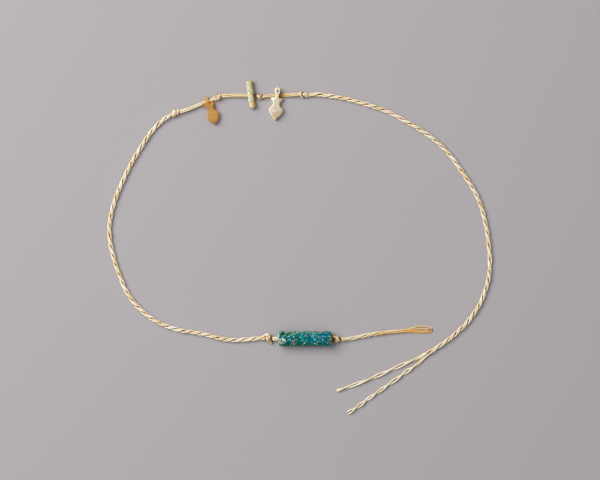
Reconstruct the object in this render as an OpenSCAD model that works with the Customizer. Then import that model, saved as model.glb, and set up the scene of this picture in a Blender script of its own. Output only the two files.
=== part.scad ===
// Amulet necklace: a twisted linen cord, laid open on a flat surface, with four amulets.
// Millimetres. X to the right, Y from the crumb bead towards the small amulets, Z up from the surface.
// The origin is the middle of the whole necklace's footprint, on the surface.

/* [Linen cord] */
// Diameter of the long twisted cords
cord_d = 1.8; // [1.6:0.1:1.8]
// Diameter of the cord from the bead to the closing loop
tie_d = 1.5; // [1.2:0.1:1.6]
// Diameter of each loose tail
tail_d = 1.3; // [1.0:0.1:1.3]
// Diameter of the cord where it passes through an amulet
threaded_d = 1.2; // [0.8:0.1:1.2]
// Diameter of the yarn bundle that makes the closing loop
loop_d = 0.7; // [0.5:0.05:0.7]

/* [Crumb bead] */
// Length of the cylindrical bead
bead_len = 22.5; // [21:0.5:22.5]
// Mean diameter of the bead
bead_d = 6.0; // [5.6:0.1:6.6]
// Height of the swellings above and below the mean surface
bead_swell = 0.18; // [0:0.02:0.3]
// Diameter of the bore along the bead
bead_bore = 2.6; // [2.4:0.1:3]

/* [Nefer amulets] */
// Thickness of both nefer amulets
nefer_t = 2.5; // [2.3:0.1:3]
// Width of the sloping rim round the front face
nefer_rim = 0.35; // [0.1:0.05:0.4]
// Diameter of the hole across each stalk
nefer_bore = 1.45; // [1.35:0.05:1.5]

/* [Column bar] */
// Length of the column-shaped bar
bar_len = 11.9; // [11:0.1:12.5]
// Diameter of the bar
bar_d = 2.8; // [2.6:0.1:3]
// Diameter of the hole across the bar
bar_bore = 1.6; // [1.4:0.1:1.7]

/* [Hidden] */

// Facets of the round solids, and sides of a swept cord
$fn = 48;
cord_sides = 8;

linen = "#e0cda0";
stained_linen = "#cfa468";

// Heights above the surface
cord_z = cord_d / 2;
tie_z = tie_d / 2;
tail_z = tail_d / 2;
loop_z = loop_d / 2;
bead_z = bead_d / 2 + bead_swell;
nefer_bore_z = nefer_t / 2;
bar_z = bar_d / 2;

// Cord inside the bead, which lies just above the bottom of the bore
bead_cord_d = 1.6;
bore_gap = 0.1;
bead_cord_z = bead_z - (bead_bore - bead_cord_d) / 2 + bore_gap;

// Middle of the bead
bead_x = 2.2;
bead_y = -38.1;

// Outline of each nefer: [distance below the top, half width]
orange_outline = [
    [0.15, 0.45], [0.55, 0.85], [0.95, 0.90], [1.45, 0.66], [2.20, 0.62], [2.80, 0.68],
    [2.85, 1.40], [2.95, 2.00], [3.40, 2.28], [4.00, 1.95], [4.80, 1.48], [5.60, 1.34],
    [6.30, 1.62], [7.00, 2.16], [7.80, 2.52], [8.60, 2.56], [9.40, 2.36], [10.30, 1.85],
    [11.10, 1.22], [11.70, 0.60]
];
orange_len = 12.0;
white_outline = [
    [0.12, 0.50], [0.50, 1.00], [1.30, 1.20], [2.20, 1.05], [3.10, 0.76], [3.70, 0.70],
    [4.20, 0.74], [4.25, 1.50], [4.30, 2.20], [4.65, 2.65], [5.30, 2.15], [6.10, 1.56],
    [6.90, 1.38], [7.60, 1.62], [8.40, 2.36], [9.20, 2.86], [9.80, 2.95], [10.50, 2.70],
    [11.50, 1.98], [12.50, 1.18], [13.30, 0.55]
];
white_len = 13.7;

// Top point of each nefer and how far it is turned on the surface
orange_top = [-39.1, 63.3];
orange_turn = 18;
orange_bore_down = 2.05;
white_top = [-9.1, 67.2];
white_turn = -5;
white_bore_down = 3.35;

// Lower end of the bar and how far it is turned on the surface
bar_end = [-19.7, 58.2];
bar_turn = 6.8;
bar_bore_up = 5.65;

// Routes: [x, y, z, diameter] at each point, in order along the cord
left_route = [
    [-14.8, -37.8, 1.2, cord_d], [-18.3, -38.1, cord_z, cord_d], [-22.5, -38.6, cord_z, cord_d],
    [-27.5, -38.8, cord_z, cord_d], [-33.2, -38.0, cord_z, cord_d], [-39.7, -36.4, cord_z, cord_d],
    [-45.4, -35.3, cord_z, cord_d], [-50.9, -34.4, cord_z, cord_d], [-56.5, -32.6, cord_z, cord_d],
    [-61.4, -30.1, cord_z, cord_d], [-65.9, -26.6, cord_z, cord_d], [-69.9, -22.4, cord_z, cord_d],
    [-72.9, -17.7, cord_z, cord_d], [-75.1, -12.5, cord_z, cord_d], [-77.1, -7.2, cord_z, cord_d],
    [-78.6, -1.8, cord_z, cord_d], [-79.5, 3.4, cord_z, cord_d], [-79.8, 8.8, cord_z, cord_d],
    [-79.0, 14.3, cord_z, cord_d], [-77.5, 19.7, cord_z, cord_d], [-75.5, 25.1, cord_z, cord_d],
    [-73.1, 30.3, cord_z, cord_d], [-70.5, 35.5, cord_z, cord_d], [-67.5, 40.6, cord_z, cord_d],
    [-64.1, 45.9, cord_z, cord_d], [-60.2, 50.9, cord_z, cord_d], [-56.9, 53.8, 1.1, cord_d],
    [-53.7, 55.8, 1.5, cord_d]
];
right_route = [
    [3.8, 64.2, 1.3, 1.5], [8.6, 64.3, 1.0, cord_d], [14.1, 63.6, cord_z, cord_d],
    [19.5, 62.5, cord_z, cord_d], [25.0, 61.1, cord_z, cord_d], [30.5, 59.5, cord_z, cord_d],
    [35.8, 57.6, cord_z, cord_d], [41.0, 55.1, cord_z, cord_d], [46.0, 52.3, cord_z, cord_d],
    [51.0, 49.3, cord_z, cord_d], [55.9, 45.9, cord_z, cord_d], [60.3, 42.0, cord_z, cord_d],
    [64.2, 37.6, cord_z, cord_d], [67.6, 32.8, cord_z, cord_d], [70.8, 28.1, cord_z, cord_d],
    [73.8, 23.0, cord_z, cord_d], [76.1, 17.7, cord_z, cord_d], [77.7, 12.0, cord_z, cord_d],
    [78.8, 6.2, cord_z, cord_d], [79.6, 0.3, cord_z, cord_d], [79.9, -5.6, cord_z, cord_d],
    [79.6, -11.5, cord_z, cord_d], [78.2, -17.3, cord_z, cord_d], [76.0, -23.0, cord_z, cord_d],
    [72.9, -28.0, cord_z, cord_d], [69.3, -32.6, cord_z, cord_d], [65.1, -36.4, cord_z, cord_d],
    [60.6, -39.9, cord_z, cord_d], [56.7, -42.6, cord_z, cord_d], [53.1, -44.8, cord_z, cord_d]
];
tail_upper_route = [
    [52.5, -44.4, tail_z, tail_d], [50.2, -46.1, tail_z, tail_d], [46.2, -47.8, tail_z, tail_d],
    [42.6, -49.4, tail_z, tail_d], [36.9, -51.9, tail_z, tail_d], [31.2, -54.4, tail_z, tail_d],
    [25.6, -56.6, tail_z, tail_d], [20.2, -58.5, tail_z, tail_d], [15.5, -60.0, tail_z, tail_d]
];
tail_lower_route = [
    [53.2, -45.9, tail_z, tail_d], [51.4, -47.6, tail_z, tail_d], [48.8, -49.4, tail_z, tail_d],
    [45.2, -51.8, tail_z, tail_d], [39.7, -55.8, tail_z, tail_d], [34.0, -59.8, tail_z, tail_d],
    [28.4, -63.8, tail_z, tail_d], [24.2, -66.9, tail_z, tail_d], [20.2, -69.4, tail_z, tail_d]
];
tie_route = [
    [17.6, -38.4, 1.8, tie_d], [20.0, -38.2, 1.1, tie_d], [23.1, -37.8, tie_z, tie_d],
    [27.0, -37.0, tie_z, tie_d], [31.7, -36.1, tie_z, tie_d], [37.0, -35.5, tie_z, tie_d],
    [41.8, -35.0, tie_z, tie_d], [45.7, -34.8, tie_z, tie_d]
];
loop_route = [
    [45.9, -34.5, loop_z, loop_d], [48.9, -33.5, loop_z, loop_d], [51.8, -33.0, loop_z, loop_d],
    [54.0, -33.1, loop_z, loop_d], [55.2, -33.7, loop_z, loop_d], [55.4, -34.6, loop_z, loop_d],
    [54.7, -35.3, loop_z, loop_d], [52.6, -35.6, loop_z, loop_d], [49.2, -35.5, loop_z, loop_d],
    [45.9, -35.3, loop_z, loop_d]
];
bead_cord_route = [
    [-11.3, -38.2, 1.8, bead_cord_d], [-10.3, -38.1, 2.3, bead_cord_d],
    [-8.9, bead_y, bead_cord_z, bead_cord_d], [2.2, bead_y, bead_cord_z, bead_cord_d],
    [12.4, bead_y, bead_cord_z, bead_cord_d], [13.6, bead_y, bead_cord_z, bead_cord_d]
];
top_route_1 = [
    [-50.3, 57.0, 1.5, 1.6], [-47.7, 57.8, 1.2, 1.7], [-44.7, 58.9, 1.1, 1.7],
    [-41.8, 60.0, 1.15, 1.5], [-39.45, 61.0, nefer_bore_z, threaded_d],
    [-37.6, 61.65, nefer_bore_z, threaded_d], [-36.5, 62.2, 1.3, threaded_d]
];
top_route_2 = [
    [-32.2, 63.7, 1.3, 1.4], [-29.7, 63.8, 1.2, 1.4], [-27.3, 63.9, 1.2, 1.4],
    [-24.6, 63.9, 1.3, 1.4], [-22.1, 63.85, bar_z, threaded_d], [-18.7, 63.8, bar_z, threaded_d],
    [-18.1, 63.6, 1.35, threaded_d]
];
top_route_3 = [
    [-14.8, 63.6, 1.25, threaded_d], [-12.4, 63.8, 1.2, 1.3], [-10.4, 63.95, nefer_bore_z, threaded_d],
    [-8.3, 63.8, nefer_bore_z, threaded_d], [-6.5, 64.0, 1.2, 1.3], [-3.6, 64.2, 1.2, 1.4],
    [-0.3, 64.3, 1.3, 1.4]
];

function flat_list(lists) = [for (list = lists) for (item = list) item];

function unit(v) = v / norm(v);

// Direction of a route at one of its points
function heading(route, i) =
    let (before = route[max(i - 1, 0)], after = route[min(i + 1, len(route) - 1)])
    unit([after.x - before.x, after.y - before.y, after.z - before.z]);

// One ring of points round a route, with a point straight below the cord's middle
function cord_ring(route, i) =
    let (
        along = heading(route, i),
        side = unit(cross([0, 0, 1], along)),
        up = cross(along, side),
        middle = [route[i].x, route[i].y, route[i].z],
        radius = route[i][3] / 2
    )
    [for (k = [0:cord_sides - 1])
        let (a = 360 * k / cord_sides)
        middle + radius * (cos(a) * side + sin(a) * up)];

// The same face on a later ring, turned over to look the other way
function turned_over(face, shift) = [for (k = [len(face) - 1:-1:0]) face[k] + shift];

// Closed skin over rings of n points each, where cap lists the faces that close the first ring
module skin(rings, cap) {
    n = len(rings[0]);
    last = len(rings) - 1;
    walls = [for (i = [0:last - 1]) for (k = [0:n - 1])
        let (next = (k + 1) % n)
        [i * n + k, (i + 1) * n + k, (i + 1) * n + next, i * n + next]];
    last_cap = [for (face = cap) turned_over(face, last * n)];
    polyhedron(points = flat_list(rings), faces = concat(cap, walls, last_cap));
}

module cord(route) {
    skin([for (i = [0:len(route) - 1]) cord_ring(route, i)], [[for (k = [0:cord_sides - 1]) k]]);
}

// Knot: a barrel of round wraps, whose axis is turned on the surface from X by an angle
module knot(place, turn, long, wide, wraps) {
    wrap_r = long / wraps / 2;
    core_r = wide / 2 - wrap_r;
    bumps = [for (i = [0:wraps - 1]) for (a = [180:-20:0])
        [core_r + wrap_r * sin(a), wrap_r * (2 * i + 1 + cos(a)) - long / 2]];
    translate(place)
        rotate([0, 90, turn])
            rotate_extrude()
                polygon(concat([[0, -long / 2]], bumps, [[0, long / 2]]));
}

// Both sides of a nefer's outline, counter-clockwise from its top
function nefer_points(outline, length) = concat(
    [[0, 0]],
    [for (row = outline) [-row[1], -row[0]]],
    [[0, -length]],
    [for (i = [len(outline) - 1:-1:0]) [outline[i][1], -outline[i][0]]]
);

// Faces that close such an outline with one strip across it from each row to the next
function nefer_cap(rows) = concat(
    [[0, 1, 2 * rows + 1]],
    [for (i = [1:rows - 1]) [i, i + 1, 2 * rows + 1 - i, 2 * rows + 2 - i]],
    [[rows, rows + 1, rows + 2]]
);

// Outline moved inwards by a distance, as a ring at a height
function inset_ring(points, distance, z) =
    let (n = len(points))
    [for (i = [0:n - 1])
        let (
            before = unit(points[i] - points[(i + n - 1) % n]),
            after = unit(points[(i + 1) % n] - points[i]),
            inward = unit([-before.y - after.y, before.x + after.x])
        )
        [points[i].x + distance * inward.x, points[i].y + distance * inward.y, z]];

// Flat-backed plaque with a sloping rim and a hole across its stalk
module nefer(outline, length, top, turn, bore_down) {
    points = nefer_points(outline, length);
    back_inset = 0.2;
    back_bevel = 0.3;
    rim_depth = 1.6 * nefer_rim;
    bore_len = 4;
    translate([top.x, top.y, 0])
        rotate([0, 0, turn])
            difference() {
                skin([
                    inset_ring(points, back_inset, 0),
                    inset_ring(points, 0, back_bevel),
                    inset_ring(points, 0, nefer_t - rim_depth),
                    inset_ring(points, nefer_rim, nefer_t)
                ], nefer_cap(len(outline)));
                translate([0, -bore_down, nefer_bore_z])
                    rotate([0, 90, 0])
                        cylinder(h = bore_len, d = nefer_bore, center = true);
            }
}

module crumb_bead() {
    swellings = 5;
    steps = 8 * swellings;
    edge = 0.4;
    mouth = 0.25;
    outside = [for (i = [0:steps])
        [bead_d / 2 - bead_swell * cos(360 * swellings * i / steps),
            -bead_len / 2 + edge + (bead_len - 2 * edge) * i / steps]];
    inside = [
        [bead_bore / 2 + mouth, bead_len / 2], [bead_bore / 2, bead_len / 2 - mouth],
        [bead_bore / 2, -bead_len / 2 + mouth], [bead_bore / 2 + mouth, -bead_len / 2]
    ];
    first = [[bead_d / 2 - edge, -bead_len / 2]];
    last = [[bead_d / 2 - edge, bead_len / 2]];
    color("#1c8a86")
        translate([bead_x, bead_y, bead_z])
            rotate([0, 90, 0])
                rotate_extrude()
                    polygon(concat(first, outside, last, inside));
}

module orange_nefer() {
    color("#c98f45")
        nefer(orange_outline, orange_len, orange_top, orange_turn, orange_bore_down);
}

module white_nefer() {
    color("#ddd2b6")
        nefer(white_outline, white_len, white_top, white_turn, white_bore_down);
}

module green_bar() {
    r = bar_d / 2;
    round_end = 1.2;
    flat_angle = 15;
    waist_up = 3;
    waist_half = 0.5;
    waist_depth = 0.07;
    top_inset = 0.3;
    top_bevel = 0.4;
    profile = concat(
        [[0, 0]],
        [for (a = [flat_angle:15:75]) [r * sin(a), round_end * (cos(flat_angle) - cos(a))]],
        [[r, round_end], [r, waist_up - waist_half], [r - waist_depth, waist_up]],
        [[r, waist_up + waist_half], [r, bar_len - top_bevel], [r - top_inset, bar_len], [0, bar_len]]
    );
    color("#c3cd9a")
        difference() {
            translate([bar_end.x, bar_end.y, bar_z])
                rotate([-90, 0, bar_turn])
                    rotate_extrude()
                        polygon(profile);
            translate([bar_end.x, bar_end.y + bar_bore_up, bar_z])
                rotate([0, 90, 0])
                    cylinder(h = 2 * bar_d, d = bar_bore, center = true);
        }
}

module bead_cord() {
    color(linen) cord(bead_cord_route);
}

module bead_knot_left() {
    color(linen) knot(place = [-12.9, -38.1, 1.3], turn = -66, long = 5.0, wide = 2.4, wraps = 3);
}

module bead_knot_right() {
    color(stained_linen) knot(place = [15.6, -38.3, 2.2], turn = -40, long = 3.4, wide = 2.8, wraps = 2);
}

module tie_cord() {
    color(stained_linen) cord(tie_route);
}

module closing_loop() {
    color(stained_linen) cord(loop_route);
}

module left_cord() {
    color(linen) cord(left_route);
}

module knot_1() {
    color(linen) knot(place = [-52.0, 56.5, 1.6], turn = 19, long = 3.1, wide = 3.2, wraps = 2);
}

module top_cord_1() {
    color(linen) cord(top_route_1);
}

module knot_2() {
    color(linen) knot(place = [-34.4, 63.1, 1.35], turn = 22, long = 3.9, wide = 2.7, wraps = 3);
}

module top_cord_2() {
    color(linen) cord(top_route_2);
}

module knot_3() {
    color(stained_linen) knot(place = [-16.5, 63.3, 1.25], turn = 0, long = 2.9, wide = 2.4, wraps = 2);
}

module top_cord_3() {
    color(linen) cord(top_route_3);
}

module knot_4() {
    color(linen) knot(place = [1.7, 64.2, 1.4], turn = 0, long = 3.6, wide = 2.8, wraps = 2);
}

module right_cord() {
    color(linen) cord(right_route);
}

module tail_upper() {
    color(linen) cord(tail_upper_route);
}

module tail_lower() {
    color(linen) cord(tail_lower_route);
}

crumb_bead();
orange_nefer();
white_nefer();
green_bar();
bead_cord();
bead_knot_left();
bead_knot_right();
tie_cord();
closing_loop();
left_cord();
knot_1();
top_cord_1();
knot_2();
top_cord_2();
knot_3();
top_cord_3();
knot_4();
right_cord();
tail_upper();
tail_lower();
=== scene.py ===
"""Looks of the amulet necklace: twisted linen cords, their knots, a crumb bead and three small amulets.

Sizes are written in millimetres times MM, and the cords' routes in metres, as in the CAD frame:
X to the right, Y from the crumb bead towards the small amulets, Z up from the surface.
"""

import math
import random

import bpy
import numpy as np
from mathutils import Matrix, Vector, noise


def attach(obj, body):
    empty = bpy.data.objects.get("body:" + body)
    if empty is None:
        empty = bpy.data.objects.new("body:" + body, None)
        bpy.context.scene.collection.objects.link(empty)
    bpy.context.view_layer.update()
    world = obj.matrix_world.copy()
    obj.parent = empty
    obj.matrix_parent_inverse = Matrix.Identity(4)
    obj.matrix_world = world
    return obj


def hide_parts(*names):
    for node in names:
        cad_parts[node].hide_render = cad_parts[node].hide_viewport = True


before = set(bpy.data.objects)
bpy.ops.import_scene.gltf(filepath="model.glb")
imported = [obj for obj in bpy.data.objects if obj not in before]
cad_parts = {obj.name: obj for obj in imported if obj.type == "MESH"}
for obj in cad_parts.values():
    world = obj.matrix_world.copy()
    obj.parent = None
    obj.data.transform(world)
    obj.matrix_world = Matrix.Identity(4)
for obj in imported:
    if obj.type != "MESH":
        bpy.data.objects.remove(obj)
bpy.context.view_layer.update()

MM = 0.001
BODY = "root"

# The photo: millimetres of the surface that a pixel spans, and the pixel that lies at the origin
PIXEL = 0.42
ORIGIN_PIXEL = (299.5, 247.7)

# Cord routes, repeated from the CAD source: x, y, z in metres
LEFT_ROUTE = [
    (-0.0148, -0.0378, 0.0012), (-0.0183, -0.0381, 0.0009), (-0.0225, -0.0386, 0.0009),
    (-0.0275, -0.0388, 0.0009), (-0.0332, -0.0380, 0.0009), (-0.0397, -0.0364, 0.0009),
    (-0.0454, -0.0353, 0.0009), (-0.0509, -0.0344, 0.0009), (-0.0565, -0.0326, 0.0009),
    (-0.0614, -0.0301, 0.0009), (-0.0659, -0.0266, 0.0009), (-0.0699, -0.0224, 0.0009),
    (-0.0729, -0.0177, 0.0009), (-0.0751, -0.0125, 0.0009), (-0.0771, -0.0072, 0.0009),
    (-0.0786, -0.0018, 0.0009), (-0.0795, 0.0034, 0.0009), (-0.0798, 0.0088, 0.0009),
    (-0.0790, 0.0143, 0.0009), (-0.0775, 0.0197, 0.0009), (-0.0755, 0.0251, 0.0009),
    (-0.0731, 0.0303, 0.0009), (-0.0705, 0.0355, 0.0009), (-0.0675, 0.0406, 0.0009),
    (-0.0641, 0.0459, 0.0009), (-0.0602, 0.0509, 0.0009), (-0.0569, 0.0538, 0.0011),
    (-0.0537, 0.0558, 0.0015),
]
RIGHT_ROUTE = [
    (0.0038, 0.0642, 0.0013), (0.0086, 0.0643, 0.0010), (0.0141, 0.0636, 0.0009),
    (0.0195, 0.0625, 0.0009), (0.0250, 0.0611, 0.0009), (0.0305, 0.0595, 0.0009),
    (0.0358, 0.0576, 0.0009), (0.0410, 0.0551, 0.0009), (0.0460, 0.0523, 0.0009),
    (0.0510, 0.0493, 0.0009), (0.0559, 0.0459, 0.0009), (0.0603, 0.0420, 0.0009),
    (0.0642, 0.0376, 0.0009), (0.0676, 0.0328, 0.0009), (0.0708, 0.0281, 0.0009),
    (0.0738, 0.0230, 0.0009), (0.0761, 0.0177, 0.0009), (0.0777, 0.0120, 0.0009),
    (0.0788, 0.0062, 0.0009), (0.0796, 0.0003, 0.0009), (0.0799, -0.0056, 0.0009),
    (0.0796, -0.0115, 0.0009), (0.0782, -0.0173, 0.0009), (0.0760, -0.0230, 0.0009),
    (0.0729, -0.0280, 0.0009), (0.0693, -0.0326, 0.0009), (0.0651, -0.0364, 0.0009),
    (0.0606, -0.0399, 0.0009), (0.0567, -0.0426, 0.0009), (0.0531, -0.0448, 0.0009),
]
TAIL_UPPER_ROUTE = [
    (0.0525, -0.0444, 0.00065), (0.0502, -0.0461, 0.00065), (0.0462, -0.0478, 0.00065),
    (0.0426, -0.0494, 0.00065), (0.0369, -0.0519, 0.00065), (0.0312, -0.0544, 0.00065),
    (0.0256, -0.0566, 0.00065), (0.0202, -0.0585, 0.00065), (0.0155, -0.0600, 0.00065),
]
TAIL_LOWER_ROUTE = [
    (0.0532, -0.0459, 0.00065), (0.0514, -0.0476, 0.00065), (0.0488, -0.0494, 0.00065),
    (0.0452, -0.0518, 0.00065), (0.0397, -0.0558, 0.00065), (0.0340, -0.0598, 0.00065),
    (0.0284, -0.0638, 0.00065), (0.0242, -0.0669, 0.00065), (0.0202, -0.0694, 0.00065),
]
TIE_ROUTE = [
    (0.0176, -0.0384, 0.0018), (0.0200, -0.0382, 0.0011), (0.0231, -0.0378, 0.00075),
    (0.0270, -0.0370, 0.00075), (0.0317, -0.0361, 0.00075), (0.0370, -0.0355, 0.00075),
    (0.0418, -0.0350, 0.00075), (0.0457, -0.0348, 0.00075),
]
OUTER_BIGHT = [
    (0.0458, -0.0340, 0.00045), (0.0478, -0.0336, 0.00035), (0.0498, -0.0331, 0.00035),
    (0.0519, -0.0330, 0.00035), (0.0538, -0.0331, 0.00035), (0.0550, -0.0335, 0.00033),
    (0.0555, -0.0342, 0.00031), (0.0553, -0.0350, 0.00035), (0.0544, -0.0355, 0.00040),
    (0.0527, -0.0356, 0.00033), (0.0500, -0.0355, 0.00033), (0.0474, -0.0354, 0.00035),
]
INNER_BIGHT = [
    (0.0462, -0.0345, 0.00070), (0.0482, -0.0342, 0.00045), (0.0505, -0.0341, 0.00035),
    (0.0526, -0.0341, 0.00035), (0.0539, -0.0342, 0.00037), (0.0544, -0.0346, 0.00060),
    (0.0539, -0.0351, 0.00085), (0.0522, -0.0352, 0.00085), (0.0500, -0.0350, 0.00075),
    (0.0474, -0.0350, 0.00080),
]
BEAD_CORD_ROUTE = [
    (-0.0113, -0.0382, 0.0018), (-0.0103, -0.0381, 0.0023), (-0.0089, -0.0381, 0.00278),
    (0.0022, -0.0381, 0.00278), (0.0124, -0.0381, 0.00278), (0.0136, -0.0381, 0.00278),
]
TOP_ROUTE = [
    (-0.0503, 0.0570, 0.0015), (-0.0477, 0.0578, 0.0012), (-0.0447, 0.0589, 0.0011),
    (-0.0418, 0.0600, 0.00115), (-0.03945, 0.0610, 0.00125), (-0.0376, 0.06165, 0.00125),
    (-0.0365, 0.0622, 0.0013), (-0.0344, 0.0631, 0.00135), (-0.0322, 0.0637, 0.0013),
    (-0.0297, 0.0638, 0.0012), (-0.0273, 0.0639, 0.0012), (-0.0246, 0.0639, 0.0013),
    (-0.0221, 0.06385, 0.0014), (-0.0187, 0.0638, 0.0014), (-0.0181, 0.0636, 0.00135),
    (-0.0165, 0.0633, 0.00125), (-0.0148, 0.0636, 0.00125), (-0.0124, 0.0638, 0.0012),
    (-0.0104, 0.06395, 0.00125), (-0.0083, 0.0638, 0.00125), (-0.0065, 0.0640, 0.0012),
    (-0.0036, 0.0642, 0.0012), (-0.0003, 0.0643, 0.0013),
]

# Distances in millimetres along the cords at which one strand lies right on the other, counted on the photo
LEFT_CROSSINGS = [
    2.4, 6.6, 10.8, 14.6, 18.2, 21.8, 25.4, 29.2, 32.8, 36.2, 39.6, 43.2, 46.8, 50.6, 54.4, 58.2, 62.0,
    66.0, 70.4, 74.4, 78.2, 82.4, 86.6, 91.4, 95.4, 99.4, 103.4, 107.2, 111.0, 115.0, 118.9, 122.8, 126.7,
    130.8, 134.8, 139.0, 143.0, 146.8,
]
RIGHT_CROSSINGS = [
    1.6, 8.2, 11.9, 15.6, 19.3, 23.0, 26.7, 30.4, 34.2, 38.3, 43.0, 47.4, 51.5, 55.6, 59.6, 63.8, 68.0,
    72.4, 76.6, 80.8, 84.8, 88.6, 92.5, 96.6, 100.9, 105.4, 111.6, 117.6, 121.2, 124.9, 128.7, 132.6, 136.5,
    140.4, 144.4, 148.4, 152.2, 155.8, 160.2,
]
TAIL_UPPER_CROSSINGS = [6.8, 16.5, 26.5, 37.2]
TAIL_LOWER_CROSSINGS = [7.0, 13.0, 20.6, 26.6, 31.7, 36.9]

# Half the distance between a tail's two yarns where they lie side by side: millimetres along, half distance
TAIL_UPPER_GAPS = [(0, 0.31), (7, 0.32), (12.2, 0.60), (16.5, 0.50), (21, 0.60), (25, 0.36), (30, 0.36),
                   (33.6, 0.58), (37, 0.45), (41, 0.36)]
TAIL_LOWER_GAPS = [(0, 0.31), (6, 0.34), (10, 0.54), (13, 0.50), (16.8, 0.56), (20.6, 0.50), (29, 0.50),
                   (34.3, 0.54), (41, 0.62)]

# The top cord, by x in millimetres: how thick it is, how brown, how deep in painted shade, and how much it
# sags
TOP_THICKNESS = [
    (-50, 1.0), (-42, 1.0), (-39.5, 0.80), (-37, 0.66), (-35, 0.85), (-32, 0.85), (-22, 0.74), (-18, 0.60),
    (-14, 0.62), (-8, 0.62), (0, 0.78),
]
# Brown is partly painted shade: beside the bar and right of the white nefer's stalk
TOP_BROWN_AND_SHADE = [
    (-50, 0.1), (-42, 0.15), (-39.5, 0.4), (-37, 0.15), (-31, 0.22), (-29, 0.35), (-22, 0.4), (-20, 0.7),
    (-18, 0.7), (-16, 0.5), (-14.5, 0.3), (-12, 0.4), (-9.8, 0.5), (-8, 0.8), (-6.5, 0.75), (-5, 0.4),
    (-3, 0.3), (0, 0.35),
]
TOP_SHADE = [
    (-20.2, 0.0), (-19.6, 1.9), (-18.6, 1.8), (-18.0, 1.3), (-17.7, 0.8), (-17.4, 0.0), (-10.6, 0.0),
    (-9.8, 0.6), (-8.2, 1.55), (-7.6, 1.3), (-6.9, 0.9), (-6.2, 0.5), (-5.4, 0.1),
]
TOP_SAG = [(-21, 0), (-18, 1), (-3, 1), (-1, 0)]

# The tie cord: thickness by the share of its length, and half turns by millimetres along
TIE_THICKNESS = [(0, 0.9), (0.15, 0.9), (0.4, 1.0), (0.6, 0.95), (0.85, 0.72), (1, 0.66)]
TIE_HALF_TURNS = [(0, 0.1), (2.3, 0.5), (7.2, 1.5), (12.5, 2.5), (17.5, 3.5), (25, 4.0)]

# Its yarns, on into the closing loop, by x in millimetres: radius in millimetres, and how golden
LOOP_RADII = [(18, 0.29), (32, 0.30), (42, 0.28), (46, 0.28), (52, 0.27), (54, 0.28), (56, 0.30)]
LOOP_GOLD = [
    (17.4, 0.2), (20.8, 0.08), (26.5, 0.12), (31, 0.3), (36.8, 0.5), (40, 0.5), (45, 0.75), (50, 0.95),
    (54.5, 0.7),
]
LOOP_MIDDLE = [(0.0490, -0.0346, 0.0005), (0.0522, -0.0344, 0.0004), (0.0552, -0.0343, 0.0004)]

# The length in which the yarns of the top cord and of the bead's cord go once round
SLOW_TURN = 60 * MM


# Stage

# Camera and floor, in metres: the floor lies a little under the surface, clear of the cords
CAMERA_HEIGHT = 1.2
VIEW_WIDTH = 600 * PIXEL * MM
VIEW_MIDDLE = (0.21 * MM, 3.23 * MM)
FLOOR_HALF = 3.0
FLOOR_DROP = 0.02 * MM

# Lights: name, place, size, power, colour
LIGHTS = [
    ("key", (-0.66, 0.42, 0.95), 1.05, 18.5, (1.0, 0.985, 0.96)),
    ("fill", (0.5, -0.4, 1.4), 1.6, 3.0, (0.95, 0.97, 1.0)),
]
SKY_COLOUR = (0.8, 0.8, 0.82, 1)
SKY_STRENGTH = 0.34


def new_object(name, data):
    """An object of the given data, put into the scene."""
    made = bpy.data.objects.new(name, data)
    bpy.context.scene.collection.objects.link(made)
    return made


def bare_object(name, points, faces):
    """An object of points and faces, without a material."""
    mesh = bpy.data.meshes.new(name)
    mesh.from_pydata(points, [], faces)
    return new_object(name, mesh)


def make_camera():
    """Straight above, so that 600 pixels span 252 mm of the surface."""
    data = bpy.data.cameras.new("camera")
    data.lens = data.sensor_width * CAMERA_HEIGHT / VIEW_WIDTH
    data.clip_start, data.clip_end = 0.01, 10
    camera = new_object("camera", data)
    camera.location = (*VIEW_MIDDLE, CAMERA_HEIGHT)
    bpy.context.scene.camera = camera


def area_light(name, place, size, power, colour):
    """A round light that faces the origin."""
    data = bpy.data.lights.new(name, "AREA")
    data.shape = "DISK"
    data.size, data.energy, data.color = size, power, colour
    light = new_object(name, data)
    light.location = place
    light.rotation_euler = (-Vector(place)).to_track_quat("-Z", "Y").to_euler()


def make_stage():
    """A plain pale floor, a key and a fill light, and an even sky."""
    signs = ((-1, -1), (1, -1), (1, 1), (-1, 1))
    corners = [(x * FLOOR_HALF, y * FLOOR_HALF, -FLOOR_DROP) for x, y in signs]
    floor = bare_object("floor", corners, [(0, 1, 2, 3)])
    paper = Shader("floor_paper")
    grain = paper.noise(paper.millimetres(), scale=1.5, detail=3)
    colour = paper.ramp(grain, [(0.3, "#a39fa2"), (0.7, "#a6a2a5")])
    paper.surface(colour, roughness=0.9, specular=0.1)
    floor.data.materials.append(paper.material)
    for light in LIGHTS:
        area_light(*light)
    world = bpy.data.worlds.new("studio")
    world.use_nodes = True
    sky = world.node_tree.nodes["Background"]
    sky.inputs["Color"].default_value = SKY_COLOUR
    sky.inputs["Strength"].default_value = SKY_STRENGTH
    bpy.context.scene.world = world
    bpy.context.scene.view_settings.view_transform = "Standard"


# Materials
def tone(code):
    """Linear red, green, blue of a colour written as #rrggbb."""
    parts = [int(code[i:i + 2], 16) / 255 for i in (1, 3, 5)]
    return [p / 12.92 if p <= 0.04045 else ((p + 0.055) / 1.055) ** 2.4 for p in parts]


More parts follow.
